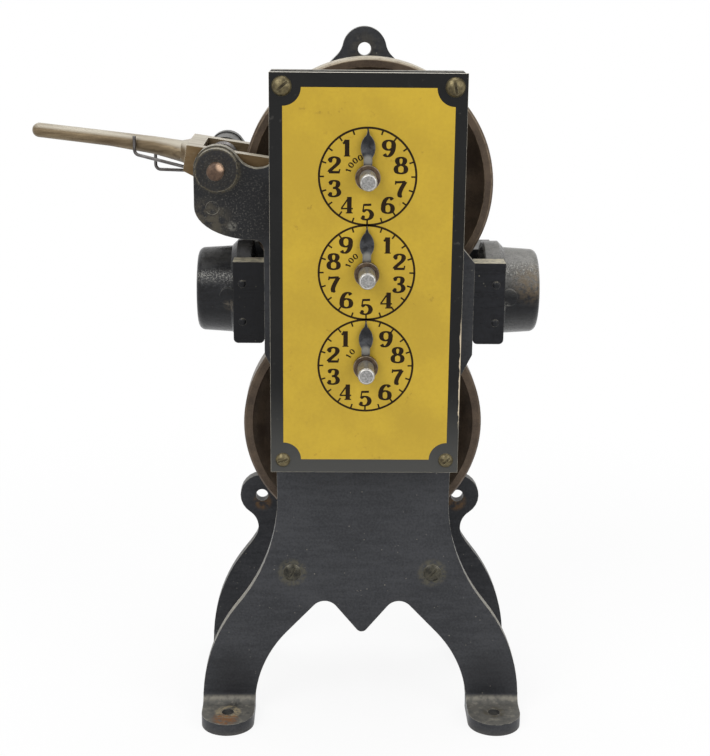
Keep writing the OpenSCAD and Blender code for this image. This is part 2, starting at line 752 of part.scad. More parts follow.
// Half section of a wheel about its middle plane: radius against depth
module wheel_profile(d, bore_d, hub_front, hub_rear) {
    r = d / 2;
    rim_in = r - rim_t;
    f = web_fillet_r;
    crown = 0.8;
    dish_a = acos(1 - (rim_w - web_t) / 2 / dish_r);
    dish = [rim_in - dish_r * sin(dish_a), web_t / 2 + dish_r];
    polygon(concat(
        [[bore_d / 2, -hub_front], [hub_d / 2 - crown, -hub_front], [hub_d / 2, crown - hub_front]],
        arc([hub_d / 2 + f, -web_t / 2 - f], f, 180, 90, 4),
        arc([dish.x, -dish.y], dish_r, 90, 90 - dish_a, 8),
        [[r - crown, -rim_w / 2], [r, crown - rim_w / 2],
            [r, rim_w / 2 - crown], [r - crown, rim_w / 2]],
        arc(dish, dish_r, dish_a - 90, -90, 8),
        arc([hub_d / 2 + f, web_t / 2 + f], f, 270, 180, 4),
        [[hub_d / 2, hub_rear - crown], [hub_d / 2 - crown, hub_rear], [bore_d / 2, hub_rear]]));
}

measuring_hub_front = wheel_y - front_y1 - bush_flange_t - side_gap;
measuring_hub_rear = rear_boss_y - wheel_y - side_gap;
set_screw_y = wheel_y + (web_t / 2 + web_fillet_r + measuring_hub_rear) / 2;

module measuring_wheel() color(wheel_brown) difference() {
    turned(0, wheel_y, axle_z) rotate_extrude($fn = 128)
        wheel_profile(wheel_d, axle_d + 2 * fit_gap, measuring_hub_front, measuring_hub_rear);
    translate([0, set_screw_y, axle_z]) cylinder(h = hub_d, d = set_screw_d + 2 * fit_gap);
}

module wheel_set_screw() color(dark_steel) difference() {
    translate([0, set_screw_y, axle_z + axle_d / 2 + fit_gap])
        cylinder(h = (hub_d - axle_d) / 2, d = set_screw_d);
    translate([-set_screw_d, set_screw_y - slot_w / 2, axle_z + hub_d / 2 - 1])
        cube([2 * set_screw_d, slot_w, set_screw_d]);
}

module measuring_axle() color(steel) {
    shoulder = gear_y[0] + gear_w + side_gap / 2;
    bar(0, axle_z, shoulder, rear_y1 - 2 * side_gap, axle_d);
    bar(0, axle_z, gear_y[0] - side_gap, shoulder, spindle_d);
}

module front_axle_bush() color(brass) difference() {
    union() {
        bar(0, axle_z, front_y0, front_y1, axle_bush_d);
        bar(0, axle_z, front_y1, front_y1 + bush_flange_t, bush_flange_d);
    }
    bar(0, axle_z, front_y0 - 1, front_y1 + bush_flange_t + 1, axle_d + 2 * run_gap);
}

module rear_axle_bush() color(brass) difference() {
    union() {
        bar(0, axle_z, rear_boss_y, rear_y0, hub_d);
        bar(0, axle_z, rear_y0, rear_y1 - side_gap, axle_bush_d);
    }
    bar(0, axle_z, rear_boss_y - 1, rear_y1 + 1, axle_d + 2 * run_gap);
}

pressure_hub = fork_gap / 2 - side_gap;

module pressure_wheel() color(wheel_brown) turned(press_shift, wheel_y, press_z) rotate_extrude($fn = 128)
    wheel_profile(press_d, axle_bush_d + 2 * fit_gap, pressure_hub, pressure_hub);

module pressure_wheel_bush() color(brass) difference() {
    bar(press_shift, press_z, wheel_y - pressure_hub, wheel_y + pressure_hub, axle_bush_d);
    bar(press_shift, press_z, wheel_y - pressure_hub - 1, wheel_y + pressure_hub + 1, axle_d + 2 * run_gap);
}

module pressure_axle() color(steel) difference() {
    union() {
        bar(press_shift, press_z, arm_out_front - axle_head_t, arm_out_front, axle_head_d);
        bar(press_shift, press_z, arm_out_front, arm_out_rear, axle_d);
        bar(press_shift, press_z, arm_out_rear, arm_out_rear + axle_nut_t + 1, axle_end_d);
    }
    translate([press_shift - axle_head_d, arm_out_front - axle_head_t - 1, press_z - slot_w / 2])
        cube([2 * axle_head_d, 1 + axle_head_t / 2, slot_w]);
}

module pressure_axle_nut() color(dark_steel) difference() {
    turned(press_shift, arm_out_rear, press_z) cylinder(h = axle_nut_t, d = axle_nut_w / cos(30), $fn = 6);
    bar(press_shift, press_z, arm_out_rear - 1, arm_out_rear + axle_nut_t + 1, axle_end_d + 2 * fit_gap);
}

// One arm of the fork, outlined about the pivot along the line to the wheel axle
module arm_outline() {
    cut = [7, 2.4];
    polygon([[-arm_tail, cut.y - arm_h / 2], [cut.x - arm_tail, -arm_h / 2], [arm_l, -arm_h / 2],
        [arm_l, arm_h / 2], [-arm_tail, arm_h / 2]]);
    translate([arm_l, 0]) circle(d = arm_end_d);
}

// Oval section of the handle, a thin slice across the line that rises to the left
module handle_slice(x, z, h, w) {
    translate([x, wheel_y, z]) rotate([0, 90, 0]) scale([h / 2, w / 2, 1])
        cylinder(r = 1, h = 0.4, center = true, $fn = 32);
}

// Stations of the handle from the yoke to the middle: distance from the pivot, rise, height, width
function handle_stations() = let (far = (arm_tail + handle_reach) / 2) [
    [arm_tail + 2.2, 3.3, handle_root_h * 1.04, handle_root_w * 1.5],
    [arm_tail + 6.5, 4.2, handle_root_h * 0.97, handle_root_w * 1.04],
    [arm_tail + 13, 5.6, handle_root_h * 0.86, handle_root_w * 0.88],
    [far, handle_rise * 0.72, (handle_root_h + handle_tip_h) * 0.42, handle_tip_w]];

module handle_station(s) {
    handle_slice(pivot.x - s[0], pivot.y + s[1], s[2], s[3]);
}

module lever() color(bronze) {
    tip = pivot + [-handle_reach, handle_rise];
    yoke_low = -3;
    stations = handle_stations();
    difference() {
        union() {
            for (y = [arm_out_front, arm_in_rear])
                translate([0, y + arm_t, 0]) translate([pivot.x, 0, pivot.y]) rotate([0, -arm_slope, 0])
                    rotate([90, 0, 0]) linear_extrude(arm_t) arm_outline();
            translate([pivot.x, 0, pivot.y]) rotate([0, -arm_slope, 0])
                translate([-arm_tail, arm_in_front - 1, yoke_low])
                    cube([yoke_t, fork_gap + 2, arm_h / 2 - yoke_low]);
            hull() {
                handle_station(stations[0]);
                translate([pivot.x, 0, pivot.y]) rotate([0, -arm_slope, 0])
                    translate([-arm_tail, arm_in_front + 2, yoke_low + 1])
                        cube([1, fork_gap - 4, arm_h / 2 - yoke_low - 2]);
            }
            for (i = [0:2]) hull() {
                handle_station(stations[i]);
                handle_station(stations[i + 1]);
            }
            hull() {
                handle_station(stations[3]);
                translate([tip.x + handle_tip_h / 2, wheel_y, tip.y])
                    scale([handle_tip_h / 2, handle_tip_w / 2, handle_tip_h / 2]) sphere(r = 1, $fn = 32);
            }
        }
        bar(pivot.x, pivot.y, arm_out_front - 1, arm_out_rear + 1, pivot_d + 2 * run_gap);
        bar(press_shift, press_z, arm_out_front - 1, arm_out_rear + 1, axle_d + 2 * fit_gap);
    }
}

module lever_pivot_pin() color([0.5, 0.3, 0.2]) {
    front = front_y0 - boss_h - pivot_reach;
    chamfer = 0.6;
    turned(pivot.x, front, pivot.y) cylinder(h = chamfer, d1 = pivot_d - 2 * chamfer, d2 = pivot_d);
    bar(pivot.x, pivot.y, front + chamfer, rear_y1 - side_gap, pivot_d);
}

module pivot_washer() color(dark_steel) difference() {
    bar(pivot.x, pivot.y, front_y1, arm_out_front - side_gap, 2 * boss_r - 2);
    bar(pivot.x, pivot.y, front_y1 - 1, arm_out_front, pivot_d + 2 * run_gap);
}

// Spring: one wire with a coil by each arm, two legs under the handle and a bridge on a post
coil_lead = side_gap + wire_d / 2;
leg_side = handle_root_w * 0.9 / 2 + coil_lead;
function post_x() = pivot.x - coil_r + wire_d / 2 + post_d / 2 + side_gap;
bridge_z = pivot.y - post_drop - post_d / 2;

// Half of the wire's path, from the end of a leg to the bridge. side is -1 in front, 1 behind
function spring_half(side, slope, reach) =
    let (start_a = -90 - slope, sweep = 270 + slope + 360 * coil_turns, rings = round(sweep / 45))
    let (leg_y = wheel_y + side * leg_side, coil_w = coil_pitch * sweep / 360)
    let (c = [pivot.x, pivot.y], start = c + coil_r * [cos(start_a), sin(start_a)])
    let (leg = [-cos(slope), sin(slope)], leg_l = (reach + start.x - pivot.x) / cos(slope))
    let (corner = start + leg_l * leg, bend_a = 90 - slope)
    let (bend_c = corner - wire_bend_r * tan(bend_a / 2) * leg + wire_bend_r * [sin(slope), cos(slope)])
    let (low_y = leg_y + side * coil_w)
    concat(
        [[corner.x, leg_y, corner.y + hook_h], [corner.x, leg_y, corner.y + hook_h - wire_d]],
        [for (i = [0:3]) let (a = 180 + i * bend_a / 3)
            [bend_c.x + wire_bend_r * cos(a), leg_y, bend_c.y + wire_bend_r * sin(a)]],
        [for (i = [0:rings]) let (a = start_a + sweep * i / rings)
            [c.x + coil_r * cos(a), leg_y + side * coil_w * i / rings, c.y + coil_r * sin(a)]],
        [for (i = [0:3]) let (a = i * 30)
            [c.x - coil_r, low_y - side * wire_bend_r * (1 - cos(a)),
                bridge_z + wire_bend_r * (1 - sin(a))]]);

function spring_path() =
    let (rear = spring_half(1, rear_leg_slope, rear_leg_reach))
    concat(spring_half(-1, front_leg_slope, front_leg_reach), [for (i = [len(rear) - 1:-1:0]) rear[i]]);

// Unit direction of the path at ring i
function heading(path, i) =
    let (d = path[min(i + 1, len(path) - 1)] - path[max(i - 1, 0)]) d / norm(d);

// Side direction carried along the path without twist
function carried(path, i, side) = let (t = heading(path, i), s = side - (side * t) * t) s / norm(s);

// Tube of n sides swept along a path, as one closed surface of triangles
module swept_tube(path, d, n) {
    last = len(path) - 1;
    sides = [for (i = 0, s = carried(path, 0, [0, 1, 0]); i <= last; i = i + 1,
        s = i <= last ? carried(path, i, s) : s) s];
    rings = [for (i = [0:last], k = [0:n - 1])
        let (s = sides[i], u = cross(heading(path, i), s), a = 360 * k / n)
        path[i] + d / 2 * (cos(a) * s + sin(a) * u)];
    walls = [for (i = [0:last - 1], k = [0:n - 1])
        let (a = i * n + k, b = i * n + (k + 1) % n) each [[a, a + n, b], [b, a + n, b + n]]];
    caps = [for (k = [1:n - 2]) each [[0, k, k + 1], [last * n, last * n + k + 1, last * n + k]]];
    polyhedron(rings, concat(walls, caps));
}

// Least gap of the wire to itself, between rings that aren't neighbours
function least_gap(path, d, apart = 6) = min([for (i = [0:len(path) - 1 - apart])
    min([for (j = [i + apart:len(path) - 1]) norm(path[i] - path[j])])]) - d;

module lever_spring() color(dark_steel) {
    path = spring_path();
    echo(least_spring_gap = least_gap(path, wire_d));
    swept_tube(path, wire_d, 6);
}

module spring_post() color(iron)
    bar(post_x(), pivot.y - post_drop, front_y0 + side_gap, rear_y1 - side_gap, post_d);

module dial_plate() color(dial_yellow) difference() {
    translate([-plate_w / 2, plate_face_y, plate_top_z - plate_h]) cube([plate_w, plate_t, plate_h]);
    for (z = dial_z)
        bar(0, z, plate_face_y - 1, plate_back_y + 1, spindle_bush_d + 2 * fit_gap);
    for (p = corner_places())
        bar(p.x, p.y, plate_face_y - 1, plate_back_y + 1, corner_screw_d + 2 * run_gap);
}

pillar_bore_y = plate_back_y + plate_gap / 2;

module dial_pillars() color(brass) for (p = corner_places()) difference() {
    union() {
        bar(p.x, p.y, plate_back_y, front_y0, pillar_d);
        bar(p.x, p.y, front_y0, front_y1 - side_gap, pillar_end_d);
    }
    bar(p.x, p.y, plate_back_y - 1, pillar_bore_y, corner_screw_d + 2 * fit_gap);
}

module dial_screws() color(brass) for (i = [0:3]) {
    p = corner_places()[i];
    head_d = i % 2 == 0 ? corner_head_d : low_head_d;
    domed_screw(p.x, plate_face_y, p.y, corner_screw_d, pillar_bore_y - plate_face_y - side_gap,
        head_d, corner_head_h * head_d / corner_head_d, [-40, -22, 78, -38][i]);
}

module spindle_frame_bushes() color(brass) for (z = dial_z) difference() {
    union() {
        bar(0, z, front_y0, front_y1, spindle_bush_d);
        bar(0, z, front_y0 - spindle_flange_t, front_y0, spindle_flange_d);
    }
    bar(0, z, front_y0 - spindle_flange_t - 1, front_y1 + 1, spindle_d + 2 * run_gap);
}

module spindle_plate_bushes() color(brass) for (z = dial_z) difference() {
    union() {
        bar(0, z, plate_face_y, plate_back_y, spindle_bush_d);
        bar(0, z, plate_face_y - spindle_flange_t, plate_face_y, spindle_flange_d);
    }
    bar(0, z, plate_face_y - spindle_flange_t - 1, plate_back_y + 1, spindle_d + 2 * run_gap);
}

// Half the angle of a tooth at radius r, on an involute flank
function involute(a) = tan(a) - a * PI / 180;
function tooth_half_angle(m, teeth, shift, r) =
    let (pitch_r = m * teeth / 2, base_r = pitch_r * cos(pressure_angle))
    let (thick = m * (PI / 2 + 2 * shift * tan(pressure_angle)) - tooth_thin)
    (thick / (2 * pitch_r) + involute(pressure_angle)
        - (r > base_r ? involute(acos(base_r / r)) : 0)) * 180 / PI;

// Toothed outline, with n points up each flank from the root to the tip
module toothed(m, teeth, shift, tip, root, n) {
    r0 = m * (teeth / 2 - root);
    r1 = m * (teeth / 2 + tip);
    steps = [for (k = [0:n - 1]) r0 + (r1 - r0) * k / (n - 1)];
    polygon([for (i = [0:teeth - 1], s = [-1, 1], k = [0:n - 1])
        let (r = steps[s < 0 ? k : n - 1 - k])
        let (a = 360 * i / teeth + s * tooth_half_angle(m, teeth, shift, r)) r * [cos(a), sin(a)]]);
}

// Pinion of the counter with its collar, whose teeth are in gear plane i
module pinion(z, i, m, collar) color(brass) difference() {
    union() {
        upright(gear_y[i], gear_w) translate([0, z])
            toothed(m, pinion_teeth, tooth_shift, pinion_addendum, gear_addendum + tip_clearance, 5);
        if (collar)
            bar(0, z, gear_y[i] + gear_w, gear_y[i] + gear_w + gear_gap, spindle_d + 2);
    }
    bar(0, z, gear_y[i] - 1, gear_y[i] + gear_w + gear_gap + 1, spindle_d + 2 * fit_gap);
}

// Dial gear in gear plane i, with its hub towards the front plate
module dial_gear(z, i, m) color(brass) difference() {
    union() {
        upright(gear_y[i], gear_w) translate([0, z])
            toothed(m, gear_teeth, -tooth_shift, gear_addendum, pinion_addendum + tip_clearance, 2);
        if (i > 0)
            bar(0, z, gear_y[i] + gear_w, gear_y[0] + gear_w, spindle_d + 1.8);
    }
    bar(0, z, gear_y[i] - 1, front_y0, spindle_d + 2 * fit_gap);
}

// Spindle that carries a gear, a pointer and the stud by which it is turned
module spindle(z) color(steel) {
    tip_y = plate_face_y - stud_reach;
    chamfer = 0.5;
    bar(0, z, hub_ring_y, front_y1 - side_gap / 2, spindle_d);
    bar(0, z, tip_y + chamfer, hub_ring_y, stud_d);
    turned(0, tip_y, z) cylinder(h = chamfer, d1 = stud_d - 2 * chamfer, d2 = stud_d);
}

// Spade pointer that points up at rest
module pointer(z) color(dark_steel) difference() {
    leaf_r = ((leaf_l / 2) ^ 2 + (leaf_w / 2) ^ 2) / leaf_w;
    leaf_c = pointer_l - leaf_l / 2 - 2.2;
    upright(pointer_y, pointer_t) translate([0, z]) {
        circle(d = hub_ring_d - 0.8);
        translate([-stem_w / 2, 0]) square([stem_w, leaf_c - leaf_l / 4]);
        intersection() {
            translate([leaf_r - leaf_w / 2, leaf_c]) circle(r = leaf_r);
            translate([leaf_w / 2 - leaf_r, leaf_c]) circle(r = leaf_r);
        }
        polygon([[-1, pointer_l - 4.2], [1, pointer_l - 4.2], [0, pointer_l]]);
    }
    bar(0, z, pointer_y - 1, pointer_y + pointer_t + 1, spindle_d + 2 * fit_gap);
}

module pointer_hub(z) color(wheel_brown) difference() {
    bar(0, z, hub_ring_y, pointer_y, hub_ring_d);
    bar(0, z, hub_ring_y - 1, pointer_y + 1, spindle_d + 2 * fit_gap);
}

front_frame();
rear_frame();
tie_posts();
front_tie_screws();
rear_tie_screws();
guide_bracket(-1);  // guide_bracket_left
guide_bracket(1);  // guide_bracket_right
guide_tube(-1);  // guide_tube_left
guide_tube(1);  // guide_tube_right
guide_screws();
guide_rivets();
measuring_wheel();
measuring_axle();
front_axle_bush();
rear_axle_bush();
wheel_set_screw();
pinion(axle_z, 0, drive_module, false);  // drive_pinion
pressure_wheel();
pressure_wheel_bush();
pressure_axle();
pressure_axle_nut();
lever();
lever_pivot_pin();
pivot_washer();
lever_spring();
spring_post();
dial_plate();
dial_pillars();
dial_screws();
spindle_frame_bushes();
spindle_plate_bushes();
spindle(dial_z[0]);  // tens_spindle
dial_gear(dial_z[0], 0, drive_module);  // tens_gear
pinion(dial_z[0], 1, dial_module, true);  // tens_pinion
pointer(dial_z[0]);  // tens_pointer
pointer_hub(dial_z[0]);  // tens_pointer_hub
spindle(dial_z[1]);  // hundreds_spindle
dial_gear(dial_z[1], 1, dial_module);  // hundreds_gear
pinion(dial_z[1], 2, dial_module, true);  // hundreds_pinion
pointer(dial_z[1]);  // hundreds_pointer
pointer_hub(dial_z[1]);  // hundreds_pointer_hub
spindle(dial_z[2]);  // thousands_spindle
dial_gear(dial_z[2], 2, dial_module);  // thousands_gear
pointer(dial_z[2]);  // thousands_pointer
pointer_hub(dial_z[2]);  // thousands_pointer_hub
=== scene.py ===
"""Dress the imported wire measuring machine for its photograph.

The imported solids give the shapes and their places. Each class below takes one sub-assembly of the machine,
makes the pieces that show, and gives them their finish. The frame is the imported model's own: X to the right
of the dials, Y to the back, Z up. Lengths are in metres where nothing else is said.
"""

from __future__ import annotations

import json
import logging
import math
from dataclasses import dataclass
from enum import Enum
from typing import Any, Iterable, Sequence

import bpy
from mathutils import Matrix, Vector
from mathutils.geometry import interpolate_bezier

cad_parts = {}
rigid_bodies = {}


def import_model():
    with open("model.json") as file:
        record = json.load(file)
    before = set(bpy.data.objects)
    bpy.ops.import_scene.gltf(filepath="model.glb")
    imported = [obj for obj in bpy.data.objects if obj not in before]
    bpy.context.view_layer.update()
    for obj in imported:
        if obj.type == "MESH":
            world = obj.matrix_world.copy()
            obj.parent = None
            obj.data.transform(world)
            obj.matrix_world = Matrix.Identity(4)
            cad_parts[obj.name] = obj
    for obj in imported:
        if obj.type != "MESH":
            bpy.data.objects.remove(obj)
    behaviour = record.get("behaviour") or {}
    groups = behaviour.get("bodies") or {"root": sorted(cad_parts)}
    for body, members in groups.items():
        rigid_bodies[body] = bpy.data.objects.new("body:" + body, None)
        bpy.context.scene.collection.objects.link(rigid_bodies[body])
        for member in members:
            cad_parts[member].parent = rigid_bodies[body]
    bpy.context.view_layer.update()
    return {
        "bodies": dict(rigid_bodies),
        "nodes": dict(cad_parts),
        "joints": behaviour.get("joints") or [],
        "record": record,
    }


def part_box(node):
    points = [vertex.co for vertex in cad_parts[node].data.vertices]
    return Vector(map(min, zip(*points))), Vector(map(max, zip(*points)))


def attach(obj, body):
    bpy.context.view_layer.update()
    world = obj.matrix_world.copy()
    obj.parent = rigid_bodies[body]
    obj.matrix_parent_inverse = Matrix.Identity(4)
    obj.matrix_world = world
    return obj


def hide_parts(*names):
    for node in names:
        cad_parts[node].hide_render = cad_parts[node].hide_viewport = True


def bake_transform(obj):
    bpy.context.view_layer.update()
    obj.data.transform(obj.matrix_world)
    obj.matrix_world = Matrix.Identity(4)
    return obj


LOG = logging.getLogger("wire_measuring_machine")
MM = 0.001
EDGE_MASK = "rounded_edge"
SIDES = (-1, 1)
EVEN = (1, 1, 1)
THROUGH = (1, 0, 1)
ORIGIN = (0, 0, 0)
WHITE = (1.0, 1.0, 1.0)
Colour = tuple[float, float, float]
Place = tuple[float, float, float]
Stretch = tuple[float, float, float]
Point = tuple[float, float]
Span = tuple[float, float]
Piece = bpy.types.Object
Inputs = dict[str | int, Any] | None


def tint(red: int, green: int, blue: int) -> Colour:
    """Turn a display colour of 0 to 255 into the linear colour that shaders use."""
    shares = (value / 255 for value in (red, green, blue))
    return tuple(s / 12.92 if s <= 0.04045 else ((s + 0.055) / 1.055) ** 2.4 for s in shares)


def middle(node: str) -> Place:
    """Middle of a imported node's box, in metres."""
    return tuple((low + high) / 2 for low, high in zip(*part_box(node)))


def spoke(angle: float, length: float = 1.0) -> Vector:
    """Point at an angle in radians from the first axis and a distance from the origin."""
    return Vector((math.cos(angle), math.sin(angle))) * length


def hand(angle: float, length: float = 1.0) -> Vector:
    """Point at an angle in radians clockwise from the top and a distance from the origin."""
    return Vector((math.sin(angle), math.cos(angle))) * length


class Wire:
    """A shader value that takes part in Python arithmetic."""

    def __init__(self, paint: NodeKit, socket: bpy.types.NodeSocket) -> None:
        self.paint = paint
        self.socket = socket

    def _math(self, operation: str, *values: Wire | float) -> Wire:
        """Add a Math node over the given values."""
        return self.paint.wire("Math", dict(enumerate(values)), operation=operation)

    def __add__(self, other: Wire | float) -> Wire:
        """Sum of two values."""
        return self._math("ADD", self, other)

    __radd__ = __add__

    def __sub__(self, other: Wire | float) -> Wire:
        """Difference of two values."""
        return self._math("SUBTRACT", self, other)

    def __rsub__(self, other: float) -> Wire:
        """Difference from a number on the left."""
        return self._math("SUBTRACT", other, self)

    def __mul__(self, other: Wire | float) -> Wire:
        """Product of two values."""
        return self._math("MULTIPLY", self, other)

    __rmul__ = __mul__

    def most(self, other: Wire | float) -> Wire:
        """Greater of two values."""
        return self._math("MAXIMUM", self, other)

    def step(self, low: float, high: float) -> Wire:
        """Rise smoothly from 0 at low to 1 at high."""
        inputs = {"Value": self, "From Min": low, "From Max": high}
        return self.paint.wire("MapRange", inputs, interpolation_type="SMOOTHSTEP")


class NodeKit:
    """Nodes of one material or world."""

    def __init__(self, tree: bpy.types.NodeTree) -> None:
        """Work on the given nodes."""
        self.tree = tree

    def node(self, kind: str, inputs: Inputs = None, **settings: Any) -> bpy.types.Node:
        """Add a shader node.

        Args:
            kind: The node's type, without the ShaderNode that each begins with.
            inputs: Values or wires by socket name or number.
            settings: Properties of the node, which are set first.

        Returns:
            The node.
        """
        made = self.tree.nodes.new(f"ShaderNode{kind}")
        for name, value in settings.items():
            setattr(made, name, value)
        for key, value in (inputs or {}).items():
            self.feed(made.inputs[key], value)
        return made

    def feed(self, socket: bpy.types.NodeSocket, value: Any) -> None:
        """Link a wire to a socket, or set the socket's own value.

        Args:
            socket: The socket.
            value: A wire, a colour or another plain value.
        """
        if isinstance(value, Wire):
            self.tree.links.new(value.socket, socket)
        elif isinstance(value, tuple) and len(value) == 3 and socket.type == "RGBA":
            socket.default_value = (*value, 1.0)
        else:
            socket.default_value = value

    def wire(self, kind: str, inputs: Inputs = None, output: str | int = 0, **settings: Any) -> Wire:
        """Add a node and return one of its outputs as a wire."""
        return Wire(self, self.node(kind, inputs, **settings).outputs[output])


class Paint(NodeKit):
    """A material under construction around one Principled shader. Its lengths are in millimetres."""

    fine_weight: float = 0.55
    ray_samples: int = 6

    def __init__(self, name: str) -> None:
        """Start an empty material.

        Args:
            name: The material's name.
        """
        self.material = bpy.data.materials.new(name)
        self.material.use_nodes = True
        super().__init__(self.material.node_tree)
        self.shader = self.tree.nodes["Principled BSDF"]

    def place(self, scale: Sequence[float] = EVEN, shift: Sequence[float] = ORIGIN) -> Wire:
        """Object coordinates in millimetres, stretched and shifted."""
        coords = self.wire("TexCoord", output="Object")
        sizes = tuple(1000 * s for s in scale)
        return self.wire("Mapping", {"Vector": coords, "Location": tuple(shift), "Scale": sizes})

    def noise(self, size: float, detail: float = 4, stretch: Sequence[float] = EVEN,
              shift: Sequence[float] = ORIGIN) -> Wire:
        """Clouds around 0.5 of a size and octaves of detail, over stretched and shifted coordinates."""
        inputs = {"Vector": self.place(stretch, shift), "Scale": 1 / size, "Detail": detail,
                  "Roughness": self.fine_weight}
        return self.wire("TexNoise", inputs, "Fac")

    def specks(self, spacing: float, size: float, shift: Sequence[float] = ORIGIN) -> Wire:
        """Scattered dots, 1 inside a dot."""
        inputs = {"Vector": self.place(shift=shift), "Scale": 1 / spacing}
        distance = self.wire("TexVoronoi", inputs, "Distance")
        return 1 - distance.step(0.5 * size / spacing, size / spacing)

    def edges(self, radius: float) -> Wire:
        """Find sharp outer edges.

        Args:
            radius: Width of the worn line.

        Returns:
            A mask that is 1 on the edges.
        """
        rounded = self.wire("Bevel", {"Radius": radius * MM}, samples=self.ray_samples)
        true = self.wire("NewGeometry", output="Normal")
        agree = self.wire("VectorMath", {0: rounded, 1: true}, "Value", operation="DOT_PRODUCT")
        return (1 - agree).step(0.02, 0.2)

    def rim(self) -> Wire:
        """Mask that is 1 on the faces that round the piece's edges."""
        return self.wire("Attribute", output="Fac", attribute_name=EDGE_MASK)

    def hollows(self, reach: float) -> Wire:
        """Mask that is 1 in corners and under overhangs, over a reach."""
        shade = self.wire("AmbientOcclusion", {"Distance": reach * MM}, "AO", samples=self.ray_samples)
        return (1 - shade).step(0.15, 0.75)

    def facing(self, axis: str) -> Wire:
        """How far a surface faces along X, Y or Z at rest, from -1 to 1."""
        return self.wire("SeparateXYZ", {"Vector": self.wire("TexCoord", output="Normal")}, axis)

    def cut_edge(self) -> Wire:
        """Mask that is 1 on the thin sides of an upright plate."""
        flat = self.facing("Y")
        return 1 - (flat * flat).step(0.3, 0.8)

    def upward(self, low: float = 0.3, high: float = 0.9) -> Wire:
        """Mask that is 1 on surfaces that face up at rest, over a range of their slope."""
        return self.facing("Z").step(low, high)

    def near(self, centre: Sequence[float], inner: float, outer: float,
             stretch: Sequence[float] = EVEN) -> Wire:
        """Mask that falls from 1 to 0 between two distances from a point. A stretch of 0 lets it run on."""
        inputs = {0: self.place(stretch), 1: tuple(centre)}
        return 1 - self.wire("VectorMath", inputs, "Value", operation="DISTANCE").step(inner, outer)

    def along(self, axis: str) -> Wire:
        """Position along X, Y or Z."""
        return self.wire("SeparateXYZ", {"Vector": self.place()}, axis)

    def mix(self, share: Wire, first: Wire | Colour, second: Wire | Colour) -> Wire:
        """Mix two colours, the second by the given share."""
        inputs = {0: share, 6: first, 7: second}
        return self.wire("Mix", inputs, 2, data_type="RGBA", clamp_factor=True)

    def bump(self, height: Wire, depth: float) -> Wire:
        """Normal of a surface whose relief is the height times a depth."""
        inputs = {"Height": height, "Distance": depth * MM, "Strength": 1.0}
        return self.wire("Bump", inputs, "Normal")

    def finish(self, colour: Wire | Colour, roughness: Wire | float, metallic: Wire | float = 0.0,
               normal: Wire | None = None, sheen_level: float = 0.5) -> bpy.types.Material:
        """Feed the shader and return the material.

        Args:
            colour: Base colour.
            roughness: Roughness.
            metallic: Share of bare metal.
            normal: Normal from a bump, if any.
            sheen_level: Strength of the surface reflection, the same all over.

        Returns:
            The finished material.
        """
        values = {"Base Color": colour, "Roughness": roughness, "Metallic": metallic,
                  "Specular IOR Level": sheen_level}
        if normal is not None:
            values["Normal"] = normal
        for name, value in values.items():
            self.feed(self.shader.inputs[name], value)
        return self.material


class Mark:
    """Another colour over part of a finish. Its lengths are in millimetres."""

    colour: Colour

    def mask(self, paint: Paint) -> Wire:
        """Give the share of the colour at each spot."""
        raise NotImplementedError

    def lay(self, paint: Paint, base: Wire) -> Wire:
        """Mix the mark into the colour so far."""
        return paint.mix(self.mask(paint), base, self.colour)


@dataclass(frozen=True)
class Patch(Mark):
    """A soft-edged spot about a point."""

    spot: Place
    inner: float
    outer: float
    colour: Colour
    share: float = 0.8
    grain: float = 2.4
    ragged: Span = (0.34, 0.6)
    stretch: Stretch = EVEN
    top_only: bool = False

    def mask(self, paint: Paint) -> Wire:
        """Give the share of the colour at each spot.

        Args:
            paint: The material under construction.

        Returns:
            The mask.
        """
        mask = self.share * paint.near(self.spot, self.inner, self.outer, self.stretch)
        if self.grain:
            mask = mask * paint.noise(self.grain, 5, shift=self.spot).step(*self.ragged)
        if self.top_only:
            mask = mask * paint.upward()
        return mask


@dataclass(frozen=True)
class Band(Mark):
    """A level band with soft and grainy edges."""

    low: float
    high: float
    fade: float
    colour: Colour
    share: float = 0.6
    grain: float = 0.8
    ragged: Span = (0.3, 0.62)

    def mask(self, paint: Paint) -> Wire:
        """Give the share of the colour at each spot.

        Args:
            paint: The material under construction.

        Returns:
            The mask.
        """
        height = paint.along("Z")
        mask = height.step(self.low - self.fade, self.low + self.fade)
        mask = mask * (1 - height.step(self.high - self.fade, self.high + self.fade))
        mask = mask * paint.noise(self.grain, 5, shift=(self.low, self.high, 0)).step(*self.ragged)
        return self.share * mask


